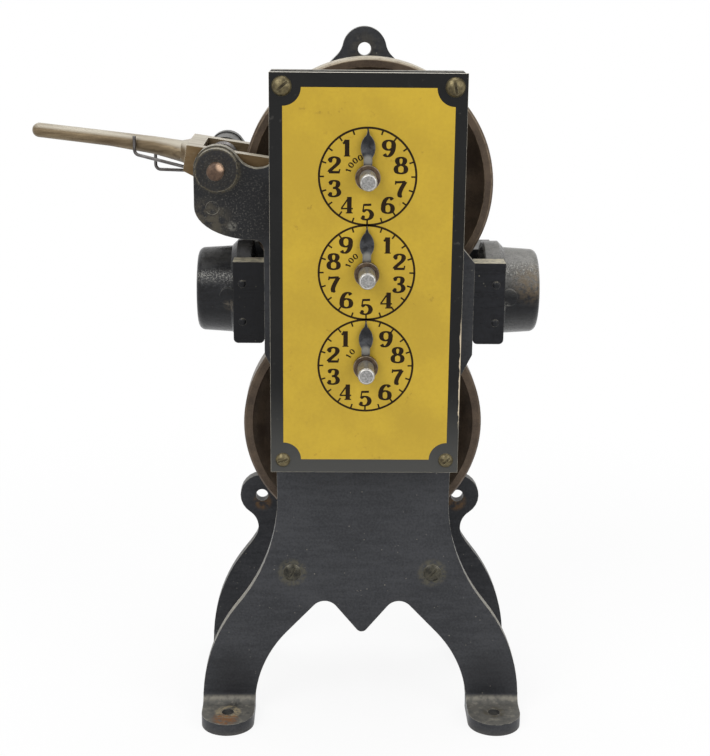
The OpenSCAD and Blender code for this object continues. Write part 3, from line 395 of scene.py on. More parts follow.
@dataclass(frozen=True)
class JapanFinish:
    """Black japan on cast iron, scuffed, with bare edges, dust and a little rust."""

    name: str
    dark: Colour = tint(42, 43, 46)
    pale: Colour = tint(61, 62, 65)
    bare: Colour = tint(186, 181, 168)
    dust: Colour = tint(178, 172, 156)
    gloss: float = 0.4
    sheen_level: float = 0.22
    grain: float = 0.9
    relief: float = 0.05
    wear: float = 0.8
    dusting: float = 0.7
    slope: Span = (0.12, 0.7)
    specks: float = 0.3
    settle: float = 0.25
    patches: tuple[Mark, ...] = ()
    marks: tuple[Mark, ...] = ()

    def make(self) -> bpy.types.Material:
        """Build the material, with the patches under the dust and the marks over it.

        Returns:
            The material.
        """
        paint = Paint(self.name)
        cloud = paint.noise(30, 3)
        streak = paint.noise(2.6, 5, stretch=(0.2, 1, 1.3), shift=(7, 3, 11))
        fine = paint.noise(self.grain, 3, shift=(3, 9, 1))
        mottle = (0.35 * cloud + 0.3 * streak + 0.35 * fine).step(0.34, 0.66)
        base = paint.mix(mottle, self.dark, self.pale)
        dots = paint.specks(2.6, 0.36, (1, 2, 3)) * paint.noise(9, 2, shift=(8, 1, 2)).step(0.48, 0.66)
        base = paint.mix(dots * self.specks, base, self.dust)
        for patch in self.patches:
            base = patch.lay(paint, base)
        settled = 0.4 + 0.6 * paint.noise(2.2, 5, shift=(5, 5, 5)).step(0.3, 0.62)
        dust = (self.settle * paint.hollows(5) + paint.upward(*self.slope)) * settled * self.dusting
        base = paint.mix(dust, base, self.dust)
        for mark in self.marks:
            base = mark.lay(paint, base)
        ragged = paint.noise(3, 4, shift=(2, 8, 4)).step(0.36, 0.56)
        turned_up = 0.25 + 0.75 * paint.upward(-0.6, 0.2)
        worn = paint.rim().most(0.5 * paint.edges(0.45)) * (1 - paint.hollows(1.2))
        worn = worn * ragged * turned_up * self.wear
        base = paint.mix(worn, base, self.bare)
        rough = self.gloss + 0.3 * (streak - 0.5) + 0.25 * dust - 0.1 * worn
        normal = paint.bump(0.7 * fine + 0.3 * cloud, self.relief)
        return paint.finish(base, rough, 0.0, normal, self.sheen_level)


@dataclass(frozen=True)
class MetalFinish:
    """Bare or tarnished metal with clouds, scratches, worn edges and dirt in its corners."""

    name: str
    bright: Colour
    dull: Colour
    dirt: Colour = tint(40, 32, 24)
    edge: Colour = tint(190, 180, 160)
    gloss: float = 0.36
    metallic: float = 0.6
    cloud: float = 6.0
    scratch: Stretch = EVEN
    flow: Stretch = EVEN
    relief: float = 0.02
    wear: float = 0.5
    grime: float = 0.6
    grime_reach: float = 2.5
    # Share, colour and slope of a paler top on upward faces: painted highlight.
    top: float = 0.0
    top_colour: Colour = tint(196, 186, 164)
    top_slope: Span = (0.3, 0.9)
    sheen_level: float = 0.35
    patches: tuple[Mark, ...] = ()

    def make(self) -> bpy.types.Material:
        """Build the material.

        Returns:
            The material.
        """
        paint = Paint(self.name)
        cloud = paint.noise(self.cloud, 5, stretch=self.flow)
        lines = paint.noise(0.7, 4, stretch=self.scratch, shift=(4, 2, 9))
        base = paint.mix((0.7 * cloud + 0.3 * lines).step(0.32, 0.68), self.bright, self.dull)
        for patch in self.patches:
            base = patch.lay(paint, base)
        ragged = paint.noise(1.5, 4, shift=(1, 7, 3)).step(0.25, 0.6)
        grime = paint.hollows(self.grime_reach) * ragged * self.grime
        base = paint.mix(grime, base, self.dirt)
        metal = self.metallic - 0.6 * grime
        # Upward faces paler: painted highlight from above.
        if self.top:
            streaks = paint.noise(3.5, 5, stretch=self.flow, shift=(6, 6, 2)).step(0.26, 0.56)
            top = paint.upward(*self.top_slope) * (0.35 + 0.65 * streaks) * self.top
            base = paint.mix(top, base, self.top_colour)
            metal = metal - 0.5 * top
        worn = paint.rim().most(0.6 * paint.edges(0.4))
        worn = worn * paint.noise(2.5, 4, shift=(9, 4, 4)).step(0.3, 0.6) * self.wear
        base = paint.mix(worn, base, self.edge)
        rough = self.gloss + 0.25 * (lines - 0.5) + 0.3 * grime - 0.08 * worn
        normal = paint.bump(0.5 * cloud + 0.5 * lines, self.relief)
        return paint.finish(base, rough, metal, normal, self.sheen_level)


@dataclass(frozen=True)
class EnamelFinish:
    """Stoved enamel on the dial plate, a little stained and scuffed, with one long chip at its right."""

    name: str
    fresh: Colour
    aged: Colour
    stain: Colour
    bare: Colour = tint(152, 146, 130)
    chipped: Colour = tint(204, 188, 162)
    # The plate's cut sides: bare metal, painted near white as a highlight too.
    cut: Colour = tint(226, 221, 208)
    gloss: float = 0.42
    sheen_level: float = 0.25
    relief: float = 0.012
    wear: float = 0.5
    stained: float = 0.35
    chip: Place | None = None
    # Span of Z over which the plate turns paler towards its foot, and the colour it turns to: painted light
    # from the floor below.
    dusty: Span | None = None
    dust: Colour = tint(68, 68, 66)

    def torn(self, paint: Paint) -> Wire:
        """Find the chip, from its side along X and its lower and upper end.

        Args:
            paint: The material under construction.

        Returns:
            A mask that is 1 in the chip.
        """
        side, low, high = self.chip
        ragged = paint.along("X") + 1.6 * (paint.noise(4, 4, shift=(9, 9, 9)) - 0.5)
        height = paint.along("Z")
        torn = ragged.step(side, side + 0.15) * height.step(low, low + 8)
        return torn * (1 - height.step(high - 14, high))

    def make(self) -> bpy.types.Material:
        """Build the material.

        Returns:
            The material.
        """
        paint = Paint(self.name)
        cloud = paint.noise(24, 5)
        fine = paint.noise(1.4, 4, shift=(5, 3, 8))
        base = paint.mix((0.75 * cloud + 0.25 * fine).step(0.34, 0.66), self.fresh, self.aged)
        spots = paint.noise(2.6, 6, shift=(3, 1, 7)).step(0.62, 0.74) * paint.noise(16, 2).step(0.48, 0.62)
        base = paint.mix(spots * self.stained, base, self.stain)
        # Paler towards the foot: painted reflection of the floor below.
        if self.dusty:
            base = paint.mix(1 - paint.along("Z").step(*self.dusty), base, self.dust)
        ragged = paint.noise(4, 4, shift=(2, 2, 5)).step(0.3, 0.5)
        worn = paint.rim().most(paint.edges(0.35)) * ragged * self.wear
        base = paint.mix(worn, base, self.bare)
        if self.chip:
            # Thin sides of the plate: bare cut metal, painted near white as a highlight too.
            base = paint.mix(0.9 * paint.cut_edge(), base, self.cut)
            base = paint.mix(self.torn(paint), base, self.chipped)
        rough = self.gloss + 0.2 * (fine - 0.5) + 0.2 * spots
        return paint.finish(base, rough, 0.0, paint.bump(fine, self.relief), self.sheen_level)


class Finishes:
    """The machine's finishes, each made once. Places are in millimetres."""

    rust: Colour = tint(122, 84, 52)
    earth: Colour = tint(98, 75, 50)
    pale_ring: Colour = tint(152, 140, 114)
    olive: Colour = tint(76, 71, 60)
    chalk: Colour = tint(112, 110, 103)
    # Pale grey: dust on the right tube, and painted highlight on both tubes.
    ash: Colour = tint(170, 168, 161)
    # Dark brown used as painted shade, in the ear holes and the wheels' dishes.
    soot: Colour = tint(30, 24, 20)
    # Near black, in places painted shade: on the shins and the pointer tips.
    pitch: Colour = tint(24, 24, 26)
    speckled: Span = (0.52, 0.68)
    measuring_centre: Place = (0, 5.65, 120.2)
    pressure_centre: Place = (1.2, 5.65, 218.1)
    guide_centre: Place = (0, 5.65, 175.2)
    pivot_boss: Place = (-56.5, 0, 226.7)
    pin_glint: Place = (-54.3, 0, 229.0)
    yoke: Place = (-52, -13, 226)
    ear_x: float = 43.2
    ear_z: float = 74.5
    tie_x: float = 28.5
    tie_z: float = 62.8
    front_y: float = -20
    foot_x: float = 54.75
    foot_y: float = -29.5
    foot_top: float = 5

    def __init__(self) -> None:
        """Make every material."""
        self.make_castings()
        self.make_guides()
        self.make_metals()
        self.make_enamels()

    def make_castings(self) -> None:
        """Make the two frame plates' japan."""
        spots = [(side * self.ear_x, 0, self.ear_z) for side in SIDES]
        # The ear holes' walls are painted dark as shade.
        hole_shade = tuple(Patch(spot, 2.8, 3.0, self.soot, 0.9, 0, stretch=THROUGH) for spot in spots)
        self.front = JapanFinish("japan_front", patches=self.front_patches(),
                                 marks=self.front_marks()).make()
        self.rear = JapanFinish("japan_rear", dusting=0.15, patches=self.rear_patches(), marks=hole_shade).make()

    def make_guides(self) -> None:
        """Make the japan of the guide blocks and tubes."""
        self.block = JapanFinish(
            "japan_block", tint(15, 15, 18), tint(32, 33, 37), dust=tint(198, 190, 166), gloss=0.3,
            grain=1.5, relief=0.12, dusting=1.0, slope=(0.4, 0.9), wear=0.2, settle=0.04, sheen_level=0.18,
            patches=(Patch((-48, -15, 172), 22, 32, tint(9, 9, 11), 0.6, 0),)).make()
        # Near black inside the bore: painted shade.
        bore_shade = Patch(self.guide_centre, 12.5, 15.0, tint(15, 14, 13), 0.95, 0, stretch=(0, 1, 1))
        tube = {"dark": tint(16, 16, 18), "pale": tint(34, 35, 38), "bare": tint(150, 149, 144),
                "gloss": 0.26, "specks": 0.1, "grain": 1.3, "relief": 0.16, "slope": (0.5, 1.0),
                "settle": 0.08, "wear": 0.6}
        # The lowest band on each tube is painted reflection of the floor.
        left = (Band(150, 163, 8, tint(116, 116, 118), 0.6, 0.5, (0.1, 0.7)),
                # Speckled band of painted highlight along the tube.
                Band(182, 184.5, 2, self.ash, 0.8, 0.45, (0.5, 0.6)),
                Patch((-53, -13, 172), 1.2, 3.6, tint(110, 101, 88), 0.7, 1.0))
        right = (Band(180, 200, 4, tint(136, 135, 131), 0.75, 0.5, (0.1, 0.75)),
                 # Painted reflection of the floor on the tube's lower part.
                 Band(150, 165, 7, tint(116, 116, 115), 0.75, 0.5, (0.1, 0.7)),
                 Band(184, 189, 2, tint(196, 194, 188), 0.6, 0.5, (0.52, 0.64)),
                 Patch((66, -10, 182), 2, 11, tint(112, 96, 72), 0.6, 1.6),
                 # Painted highlight on the rim of the screw boss.
                 Patch((54.5, -14, 172), 1.4, 3.4, self.ash, 0.5, 0.8))
        self.tube_left = JapanFinish("japan_tube_left", dusting=0.2, dust=tint(128, 126, 120),
                                     patches=(*left, bore_shade), **tube).make()
        self.tube_right = JapanFinish("japan_tube_right", dusting=0.3, dust=self.ash,
                                      patches=(*right, bore_shade), **tube).make()

    def make_metals(self) -> None:
        """Make the bare and tarnished metals."""
        # The wheels' inner dishes are painted dark as shadow.
        dish_shadows = (Patch(self.measuring_centre, 34, 46, self.soot, 0.85, 0),
                  Patch(self.pressure_centre, 32, 46, self.soot, 0.6, 0))
        # The wheels' upward faces are painted paler as a highlight.
        self.wheel = MetalFinish(
            "browned_iron", tint(96, 81, 66), tint(66, 54, 44), edge=tint(150, 132, 108), metallic=0.35,
            gloss=0.42, cloud=9, relief=0.03, grime=0.8, top=0.75, patches=dish_shadows).make()
        yoke = Patch(self.yoke, 15, 22, tint(102, 78, 44), 0.75, 3, (0.2, 0.5))
        # The lever's upward faces are painted pale as a highlight.
        self.bronze = MetalFinish(
            "lever_bronze", tint(126, 110, 84), tint(84, 69, 48), edge=tint(210, 202, 182), metallic=0.3,
            gloss=0.45, cloud=2.2, relief=0.06, wear=0.8, grime=0.7, top=0.9, scratch=(0.12, 1, 1),
            flow=(0.12, 1, 1), top_slope=(0.45, 0.92), top_colour=tint(184, 177, 161),
            patches=(yoke,)).make()
        self.steel = MetalFinish(
            "turned_steel", tint(166, 165, 162), tint(112, 111, 110), edge=tint(226, 223, 215), gloss=0.42,
            cloud=0.7, wear=0.6, scratch=(1, 0.2, 1)).make()
        self.blued = MetalFinish(
            "blued_steel", tint(84, 85, 88), tint(33, 33, 35), edge=tint(138, 136, 131), cloud=3, wear=0.6,
            patches=self.pointer_patches()).make()
        self.spring = MetalFinish("spring_steel", tint(120, 117, 116), tint(72, 68, 66), gloss=0.32,
                                  metallic=0.9, cloud=4, wear=0.2).make()
        glint = Patch(self.pin_glint, 0.9, 2.4, tint(206, 172, 144), 0.8, 0, stretch=THROUGH)
        self.rusty = MetalFinish(
            "rusty_steel", tint(98, 77, 61), tint(62, 46, 36), edge=tint(172, 152, 130), gloss=0.5,
            metallic=0.3, cloud=2.5, relief=0.05, patches=(glint,)).make()
        self.tie = MetalFinish(
            "olive_screw", tint(74, 71, 60), tint(32, 31, 27), edge=tint(126, 121, 101), gloss=0.3,
            metallic=0.5, cloud=2, wear=0.8, grime=1.0, grime_reach=1.0).make()
        self.brass = MetalFinish(
            "tarnished_brass", tint(114, 104, 76), tint(66, 59, 43), edge=tint(176, 167, 134), cloud=2,
            wear=0.7, grime=0.9, metallic=0.75).make()
        self.screw = MetalFinish("blackened_screw", tint(58, 56, 54), tint(34, 33, 33), cloud=2.5,
                                 wear=0.6).make()
        self.collar = MetalFinish("browned_collar", tint(106, 88, 70), tint(58, 46, 38), gloss=0.4,
                                  cloud=2, grime=0.9).make()

    def make_enamels(self) -> None:
        """Make the dial plate's paints."""
        # The black turns paler below Z 150 mm: painted light from the floor below.
        self.black = EnamelFinish(
            "plate_black", tint(13, 13, 13), tint(21, 21, 21), tint(84, 82, 78), wear=0.9, stained=0.4,
            chip=(35.8, 128, 176), dusty=(108, 150), sheen_level=0.2).make()
        self.yellow = EnamelFinish("plate_yellow", tint(193, 162, 50), tint(180, 150, 47),
                                   tint(128, 98, 40), wear=0.0, stained=0.45).make()
        self.ink = EnamelFinish("dial_ink", tint(44, 31, 14), tint(32, 23, 12), tint(84, 62, 24), wear=0.0,
                                sheen_level=0.1).make()

    def front_patches(self) -> tuple[Mark, ...]:
        """Give the front plate's speckled bracket and boss, screw rings and shins painted darker as shade.

        Returns:
            The patches under the dust.
        """
        y, boss = self.front_y, self.pivot_boss
        patches = [Patch((-52, y, 212), 15, 24, self.pitch, 0.88, 0),
                   Patch((-54, y, 212), 13, 24, self.chalk, 0.4, 0.7, self.speckled),
                   Patch((-60, y, 207), 3, 11, self.olive, 0.8, 2.4),
                   Patch((-51, y, 205), 0.8, 2.4, self.chalk, 0.8, 1.0),
                   Patch(boss, 8.4, 9.6, tint(96, 87, 66), 0.65, 1.2, stretch=THROUGH),
                   Patch(boss, 7.3, 8.0, tint(28, 28, 31), 0.85, 0, stretch=THROUGH),
                   Patch(boss, 6.0, 8.0, self.chalk, 0.3, 0.7, self.speckled, THROUGH)]
        for side in SIDES:
            patches += [Patch((side * self.tie_x, y, self.tie_z), 4.6, 6.8, tint(86, 82, 66), 0.6, 1.6),
                        # Shins darker towards the feet: painted shade.
                        Patch((side * 52, y, 17), 4, 17, self.pitch, 0.45, 0)]
        return tuple(patches)

    def front_marks(self) -> tuple[Mark, ...]:
        """Give what lies over the front plate's dust: its top, painted dark as shade, and the worn feet.

        Returns:
            The marks over the dust.
        """
        plate_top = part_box("front_frame")[1].z / MM
        x, y, top = self.foot_x, self.foot_y, self.foot_top
        feet = [((side * x, y, top), 19, 24, tint(72, 72, 71), 0.8, 3.0, (0.15, 0.5)) for side in SIDES]
        feet += [((x, y, top), 3.6, 5.4, self.olive, 0.8, 1.6),
                 ((-52.5, -24.6, top), 1.5, 4.5, self.pitch, 0.7, 1.6),
                 ((-x, y, top), 4.4, 6.0, self.pale_ring, 0.85, 1.6),
                 ((-55.5, -35.2, top), 3.4, 6.4, self.rust, 0.9, 2.0)]
        # The plate's top, painted dark over the dust as shade.
        shaded_top = Band(plate_top - 0.8, plate_top + 2, 0.2, tint(40, 40, 42), 0.75)
        return (shaded_top, *(Patch(*foot, top_only=True) for foot in feet))

    def rear_patches(self) -> tuple[Mark, ...]:
        """Give the rear plate's rusty ears and chalky saddle."""
        ears = (Patch((side * 43, 39, 71.6), 2.6, 5.0, self.earth, 0.85) for side in SIDES)
        return (Patch((0, 39, 268), 3, 9, tint(88, 82, 70), 0.35, 2.4),
                Patch((-48, 22, 197), 5, 10, self.chalk, 0.6, 1.2), *ears)

    def pointer_patches(self) -> tuple[Mark, ...]:
        """Give each pointer a bright neck and a tip painted dark as shadow.

        Returns:
            The patches of the three pointers.
        """
        patches = []
        for dial in Dial:
            x, _, z = (length / MM for length in middle(f"{dial.word}_spindle"))
            patches += [Patch((x, 0, z + 6.2), 0.9, 2.6, tint(150, 148, 140), 0.75, 0, stretch=THROUGH),
                        # The dark tip is painted shadow.
                        Patch((x, 0, z + 15.5), 2.0, 5.5, self.pitch, 0.8, 0, stretch=THROUGH)]
        return tuple(patches)


class Bench:
    """Blender's edit tools, used as by hand on one piece at a time."""

    same_point: float = 2e-6
    flat_angle: float = 0.4
    round_angle: float = 34
    smooth_angle: float = 40

    @staticmethod
    def clear() -> None:
        """Deselect everything."""
        bpy.ops.object.select_all(action="DESELECT")

    @classmethod
    def take(cls, piece: Piece) -> Piece:
        """Select one piece and make it the active one.

        Args:
            piece: The piece.

        Returns:
            The same piece.
        """
        cls.clear()
        piece.select_set(True)
        bpy.context.view_layer.objects.active = piece
        return piece

    @staticmethod
    def add(name: str, data: bpy.types.ID) -> Piece:
        """Put new data into the scene as a piece of the given name."""
        piece = bpy.data.objects.new(name, data)
        bpy.context.scene.collection.objects.link(piece)
        return piece

    @classmethod
    def drawn(cls, name: str, lines: Sequence[Sequence[Sequence[float]]], closed: bool,
              **settings: Any) -> Piece:
        """Draw curves of straight stretches and turn them into a mesh.

        Args:
            name: The piece's name.
            lines: The points of each curve, in metres.
            closed: Whether each curve returns to its first point.
            settings: Properties of the curves.

        Returns:
            The mesh.
        """
        curve = bpy.data.curves.new(name, "CURVE")
        for key, value in settings.items():
            setattr(curve, key, value)
        for line in lines:
            spline = curve.splines.new("POLY")
            spline.points.add(len(line) - 1)
            for point, place in zip(spline.points, line):
                point.co = (*place, 1)
            spline.use_cyclic_u = closed
        cls.take(cls.add(name, curve))
        bpy.ops.object.convert(target="MESH")
        return bpy.context.view_layer.objects.active

    @classmethod
    def apply_place(cls, piece: Piece) -> None:
        """Put the piece's place and turn into its mesh."""
        cls.take(piece)
        bpy.ops.object.transform_apply(location=True, rotation=True, scale=True)

    @classmethod
    def modify(cls, piece: Piece, kind: str, **settings: Any) -> None:
        """Add a modifier and apply it.

        Args:
            piece: The piece.
            kind: The modifier's type.
            settings: Properties of the modifier.
        """
        cls.take(piece)
        made = piece.modifiers.new(kind.lower(), kind)
        for name, value in settings.items():
            setattr(made, name, value)
        bpy.ops.object.modifier_apply(modifier=made.name)

    @classmethod
    def smooth(cls, piece: Piece, angle: float) -> None:
        """Shade the piece smooth up to an angle in degrees."""
        cls.take(piece)
        bpy.ops.object.shade_smooth_by_angle(angle=math.radians(angle))

    @classmethod
    def join(cls, pieces: Iterable[Piece], name: str) -> Piece:
        """Join several pieces into one.

        Args:
            pieces: The pieces.
            name: The joined piece's name.

        Returns:
            The joined piece.
        """
        pieces = list(pieces)
        cls.take(pieces[0])
        for piece in pieces[1:]:
            piece.select_set(True)
        bpy.ops.object.join()
        pieces[0].name = name
        return pieces[0]

    @staticmethod
    def dress(piece: Piece, material: bpy.types.Material) -> None:
        """Give a finished piece its one material and report it.

        Args:
            piece: The piece.
            material: The material.
        """
        piece.data.materials.clear()
        piece.data.materials.append(material)
        for face in piece.data.polygons:
            face.material_index = 0
        LOG.info("%s: %d faces", piece.name, len(piece.data.polygons))

    @classmethod
    def softened(cls, node: str, name: str, radius: float, trims: Sequence[Trim] = ()) -> Piece:
        """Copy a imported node, merge its triangles and round its sharp edges.

        Args:
            node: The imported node.
            name: The new piece's name.
            radius: Width of the rounding in millimetres, 0 for none.
            trims: Moves of some of its corners before the rounding.

        Returns:
            The new piece.
        """
        piece = cls.take(cls.add(name, bpy.data.objects[node].data.copy()))
        bpy.ops.object.mode_set(mode="EDIT")
        bpy.ops.mesh.select_all(action="SELECT")
        bpy.ops.mesh.remove_doubles(threshold=cls.same_point)
        bpy.ops.mesh.dissolve_limited(angle_limit=math.radians(cls.flat_angle))
        bpy.ops.mesh.select_all(action="DESELECT")
        bpy.ops.object.mode_set(mode="OBJECT")
        for trim in trims:
            trim.apply(piece)
        if radius:
            cls.round_edges(piece, radius)
        cls.smooth(piece, cls.smooth_angle)
        if radius:
            cls.modify(piece, "WEIGHTED_NORMAL", mode="FACE_AREA", weight=100, keep_sharp=True)
        return piece

    @classmethod
    def round_edges(cls, piece: Piece, radius: float) -> None:
        """Round the sharp edges and keep a mask of the new faces, which get the second material.

        Args:
            piece: The piece.
            radius: Width of the rounding in millimetres.
        """
        piece.data.materials.clear()
        for _ in range(2):
            piece.data.materials.append(None)
        cls.modify(piece, "BEVEL", width=radius * MM, segments=2, limit_method="ANGLE", material=1,
                   angle_limit=math.radians(cls.round_angle))
        mask = piece.data.attributes.new(EDGE_MASK, "FLOAT", "FACE")
        for face in piece.data.polygons:
            mask.data[face.index].value = float(face.material_index)


@dataclass(frozen=True)
class Trim:
    """A move of the corners that lie in one box. Sizes are in millimetres."""

    low: Place
    high: Place
    move: Place

    def apply(self, piece: Piece) -> None:
        """Move the corners that lie in the box.

        Args:
            piece: The piece that they belong to.
        """
        Bench.take(piece)
        bpy.ops.object.mode_set(mode="EDIT")
        bpy.ops.mesh.select_all(action="DESELECT")
        bpy.ops.object.mode_set(mode="OBJECT")
        for vertex in piece.data.vertices:
            place = vertex.co / MM
            vertex.select = all(a <= p <= b for a, p, b in zip(self.low, place, self.high))
        bpy.ops.object.mode_set(mode="EDIT")
        bpy.ops.mesh.select_mode(type="VERT")
        bpy.ops.transform.translate(value=tuple(MM * m for m in self.move))
        bpy.ops.object.mode_set(mode="OBJECT")


@dataclass
class NodeDressing:
    """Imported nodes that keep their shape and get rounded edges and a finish."""

    finishes: Finishes
    rear_trims: tuple[Trim, ...] = (Trim((33, 36, 196.5), (56, 48, 198), (0, 0, -8.6)),
                                    Trim((41, 21, 190.9), (55, 48, 191.5), (0, 0, -2.6)))
    frame_edge: float = 0.5
    casting_edge: float = 0.7
    block_edge: float = 0.35
    machined_edge: float = 0.2
    pointer_edge: float = 0.12

    def plan(self) -> dict[str, tuple[bpy.types.Material, float]]:
        """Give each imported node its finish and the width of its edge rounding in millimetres.

        Returns:
            Finish and edge by node.
        """
        f = self.finishes
        frame, machined = self.frame_edge, self.machined_edge
        spindles, gears, pointers, hubs = ([f"{dial.word}_{part}" for dial in Dial]
                                           for part in ("spindle", "gear", "pointer", "pointer_hub"))
        groups = (
            (f.front, frame, ["front_frame"]),
            (f.rear, frame, ["rear_frame"]),
            (f.rear, 0.0, ["tie_posts"]),
            (f.front, 0.0, ["spring_post"]),
            (f.wheel, machined, ["measuring_wheel", "pressure_wheel"]),
            (f.bronze, self.casting_edge, ["lever"]),
            (f.rusty, 0.0, ["lever_pivot_pin"]),
            (f.screw, machined, ["pivot_washer", "pressure_axle_nut"]),
            (f.screw, 0.0, ["guide_screws", "wheel_set_screw"]),
            (f.black, machined, ["dial_plate"]),
            (f.brass, machined, ["dial_screws"]),
            (f.brass, 0.0, ["dial_pillars", "front_axle_bush", "rear_axle_bush", "pressure_wheel_bush",
                            "spindle_frame_bushes", "spindle_plate_bushes", "drive_pinion", "tens_pinion",
                            "hundreds_pinion", *gears]),
            (f.tie, machined, ["front_tie_screws", "rear_tie_screws"]),
            (f.block, 0.0, ["guide_rivets"]),
            (f.block, self.block_edge, ["guide_bracket_left", "guide_bracket_right"]),
            (f.tube_left, frame, ["guide_tube_left"]),
            (f.tube_right, frame, ["guide_tube_right"]),
            (f.steel, 0.0, ["measuring_axle"]),
            (f.steel, machined, ["pressure_axle", *spindles]),
            (f.blued, self.pointer_edge, pointers),
            (f.collar, machined, hubs))
        return {node: (material, edge) for material, edge, nodes in groups for node in nodes}

    def dress(self, bodies: dict[str, Sequence[str]], slots: dict[str, str]) -> None:
        """Make a softened piece for each node.

        Args:
            bodies: Nodes of each body.
            slots: Material slot of each node. Not used.
        """
        owner = {node: body for body, nodes in bodies.items() for node in nodes}
        for node, (material, edge) in self.plan().items():
            trims = self.rear_trims if node == "rear_frame" else ()
            piece = Bench.softened(node, f"{node}_piece", edge, trims)
            Bench.dress(piece, material)
            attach(piece, owner[node])
            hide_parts(node)


class Dial(Enum):
    """The three dials, from the lowest up, with the order of their numbers seen from the front."""

    TENS = ("tens", -1, "10", -60.0)
    HUNDREDS = ("hundreds", 1, "100", -68.0)
    THOUSANDS = ("thousands", -1, "1000", -72.0)

    def __init__(self, word: str, turn: int, reach: str, reach_start: float) -> None:
        """Keep what one dial shows.

        Args:
            word: The dial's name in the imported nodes.
            turn: 1 where the numbers run clockwise, -1 where they run the other way.
            reach: What one turn counts.
            reach_start: Turn of that number's first figure from the top, in degrees.
        """
        self.word = word
        self.turn = turn
        self.reach = reach
        self.reach_start = reach_start


NUMERAL_BOX = Vector((0.64, 1.0))


@dataclass(frozen=True)
class Numeral:
    """A numeral drawn with a broad pen: strokes in a box one unit high, thick downwards, thin across."""

    strokes: tuple[tuple[Point, ...], ...]
    bars: tuple[tuple[Point, Point, float], ...] = ()
    balls: tuple[Place, ...] = ()
    pen_contrast: float = 1.6
    ball_steps: int = 14
    curve_steps: int = 7

    def turned(self) -> Numeral:
        """The same numeral turned upside down."""
        return Numeral(tuple(tuple(tuple(NUMERAL_BOX - Vector(p)) for p in stroke)
                             for stroke in self.strokes))

    def smooth_stroke(self, stroke: Sequence[Point]) -> list[Vector]:
        """Round off a stroke's corners with a curve through its points.

        Args:
            stroke: The points that the pen passes.

        Returns:
            Points along the curve.
        """
        closed = stroke[0] == stroke[-1]
        points = [Vector(p) for p in stroke]
        before = points[-2] if closed else 2 * points[0] - points[1]
        after = points[1] if closed else 2 * points[-1] - points[-2]
        run = [before, *points, after]
        curve = []
        for p0, p1, p2, p3 in zip(run, run[1:], run[2:], run[3:]):
            handles = (p1 + (p2 - p0) / 6, p2 - (p3 - p1) / 6)
            curve += interpolate_bezier(p1, *handles, p2, self.curve_steps + 1)[:-1]
        curve.append(points[-1])
        return curve

    @staticmethod
    def across(ahead: Vector, width: float) -> Vector:
        """Half of a stroke's width, square to its run."""
        return Vector((-ahead.y, ahead.x)) * width / 2

    def shapes(self, thin: float, thick: float) -> list[list[list[Vector]]]:
        """Give the outlines of each stroke, bar and ball.

        Args:
            thin: Width of a stroke that runs across.
            thick: Width of a stroke that runs down.

        Returns:
            For each shape, its outer outline and, on a closed stroke, the inner one.
        """
        found = []
        for stroke in self.strokes:
            curve = self.smooth_stroke(stroke) if len(stroke) > 2 else [Vector(p) for p in stroke]
            closed = stroke[0] == stroke[-1]
            last = len(curve) - 1
            left, right = [], []
            for i, point in enumerate(curve):
                before = curve[last - 1 if closed and i == 0 else max(i - 1, 0)]
                after = curve[1 if closed and i == last else min(i + 1, last)]
                ahead = (after - before).normalized()
                side = self.across(ahead, thin + (thick - thin) * abs(ahead.y) ** self.pen_contrast)
                left.append(point + side)
                right.append(point - side)
            found.append([left[:-1], right[:-1]] if closed else [left + right[::-1]])
        for start, end, width in self.bars:
            a, b = Vector(start), Vector(end)
            side = self.across((b - a).normalized(), width)
            found.append([[a + side, b + side, b - side, a - side]])
        turns = [2 * math.pi * k / self.ball_steps for k in range(self.ball_steps)]
        for x, y, radius in self.balls:
            found.append([[Vector((x, y)) + spoke(a, radius) for a in turns]])
        return found


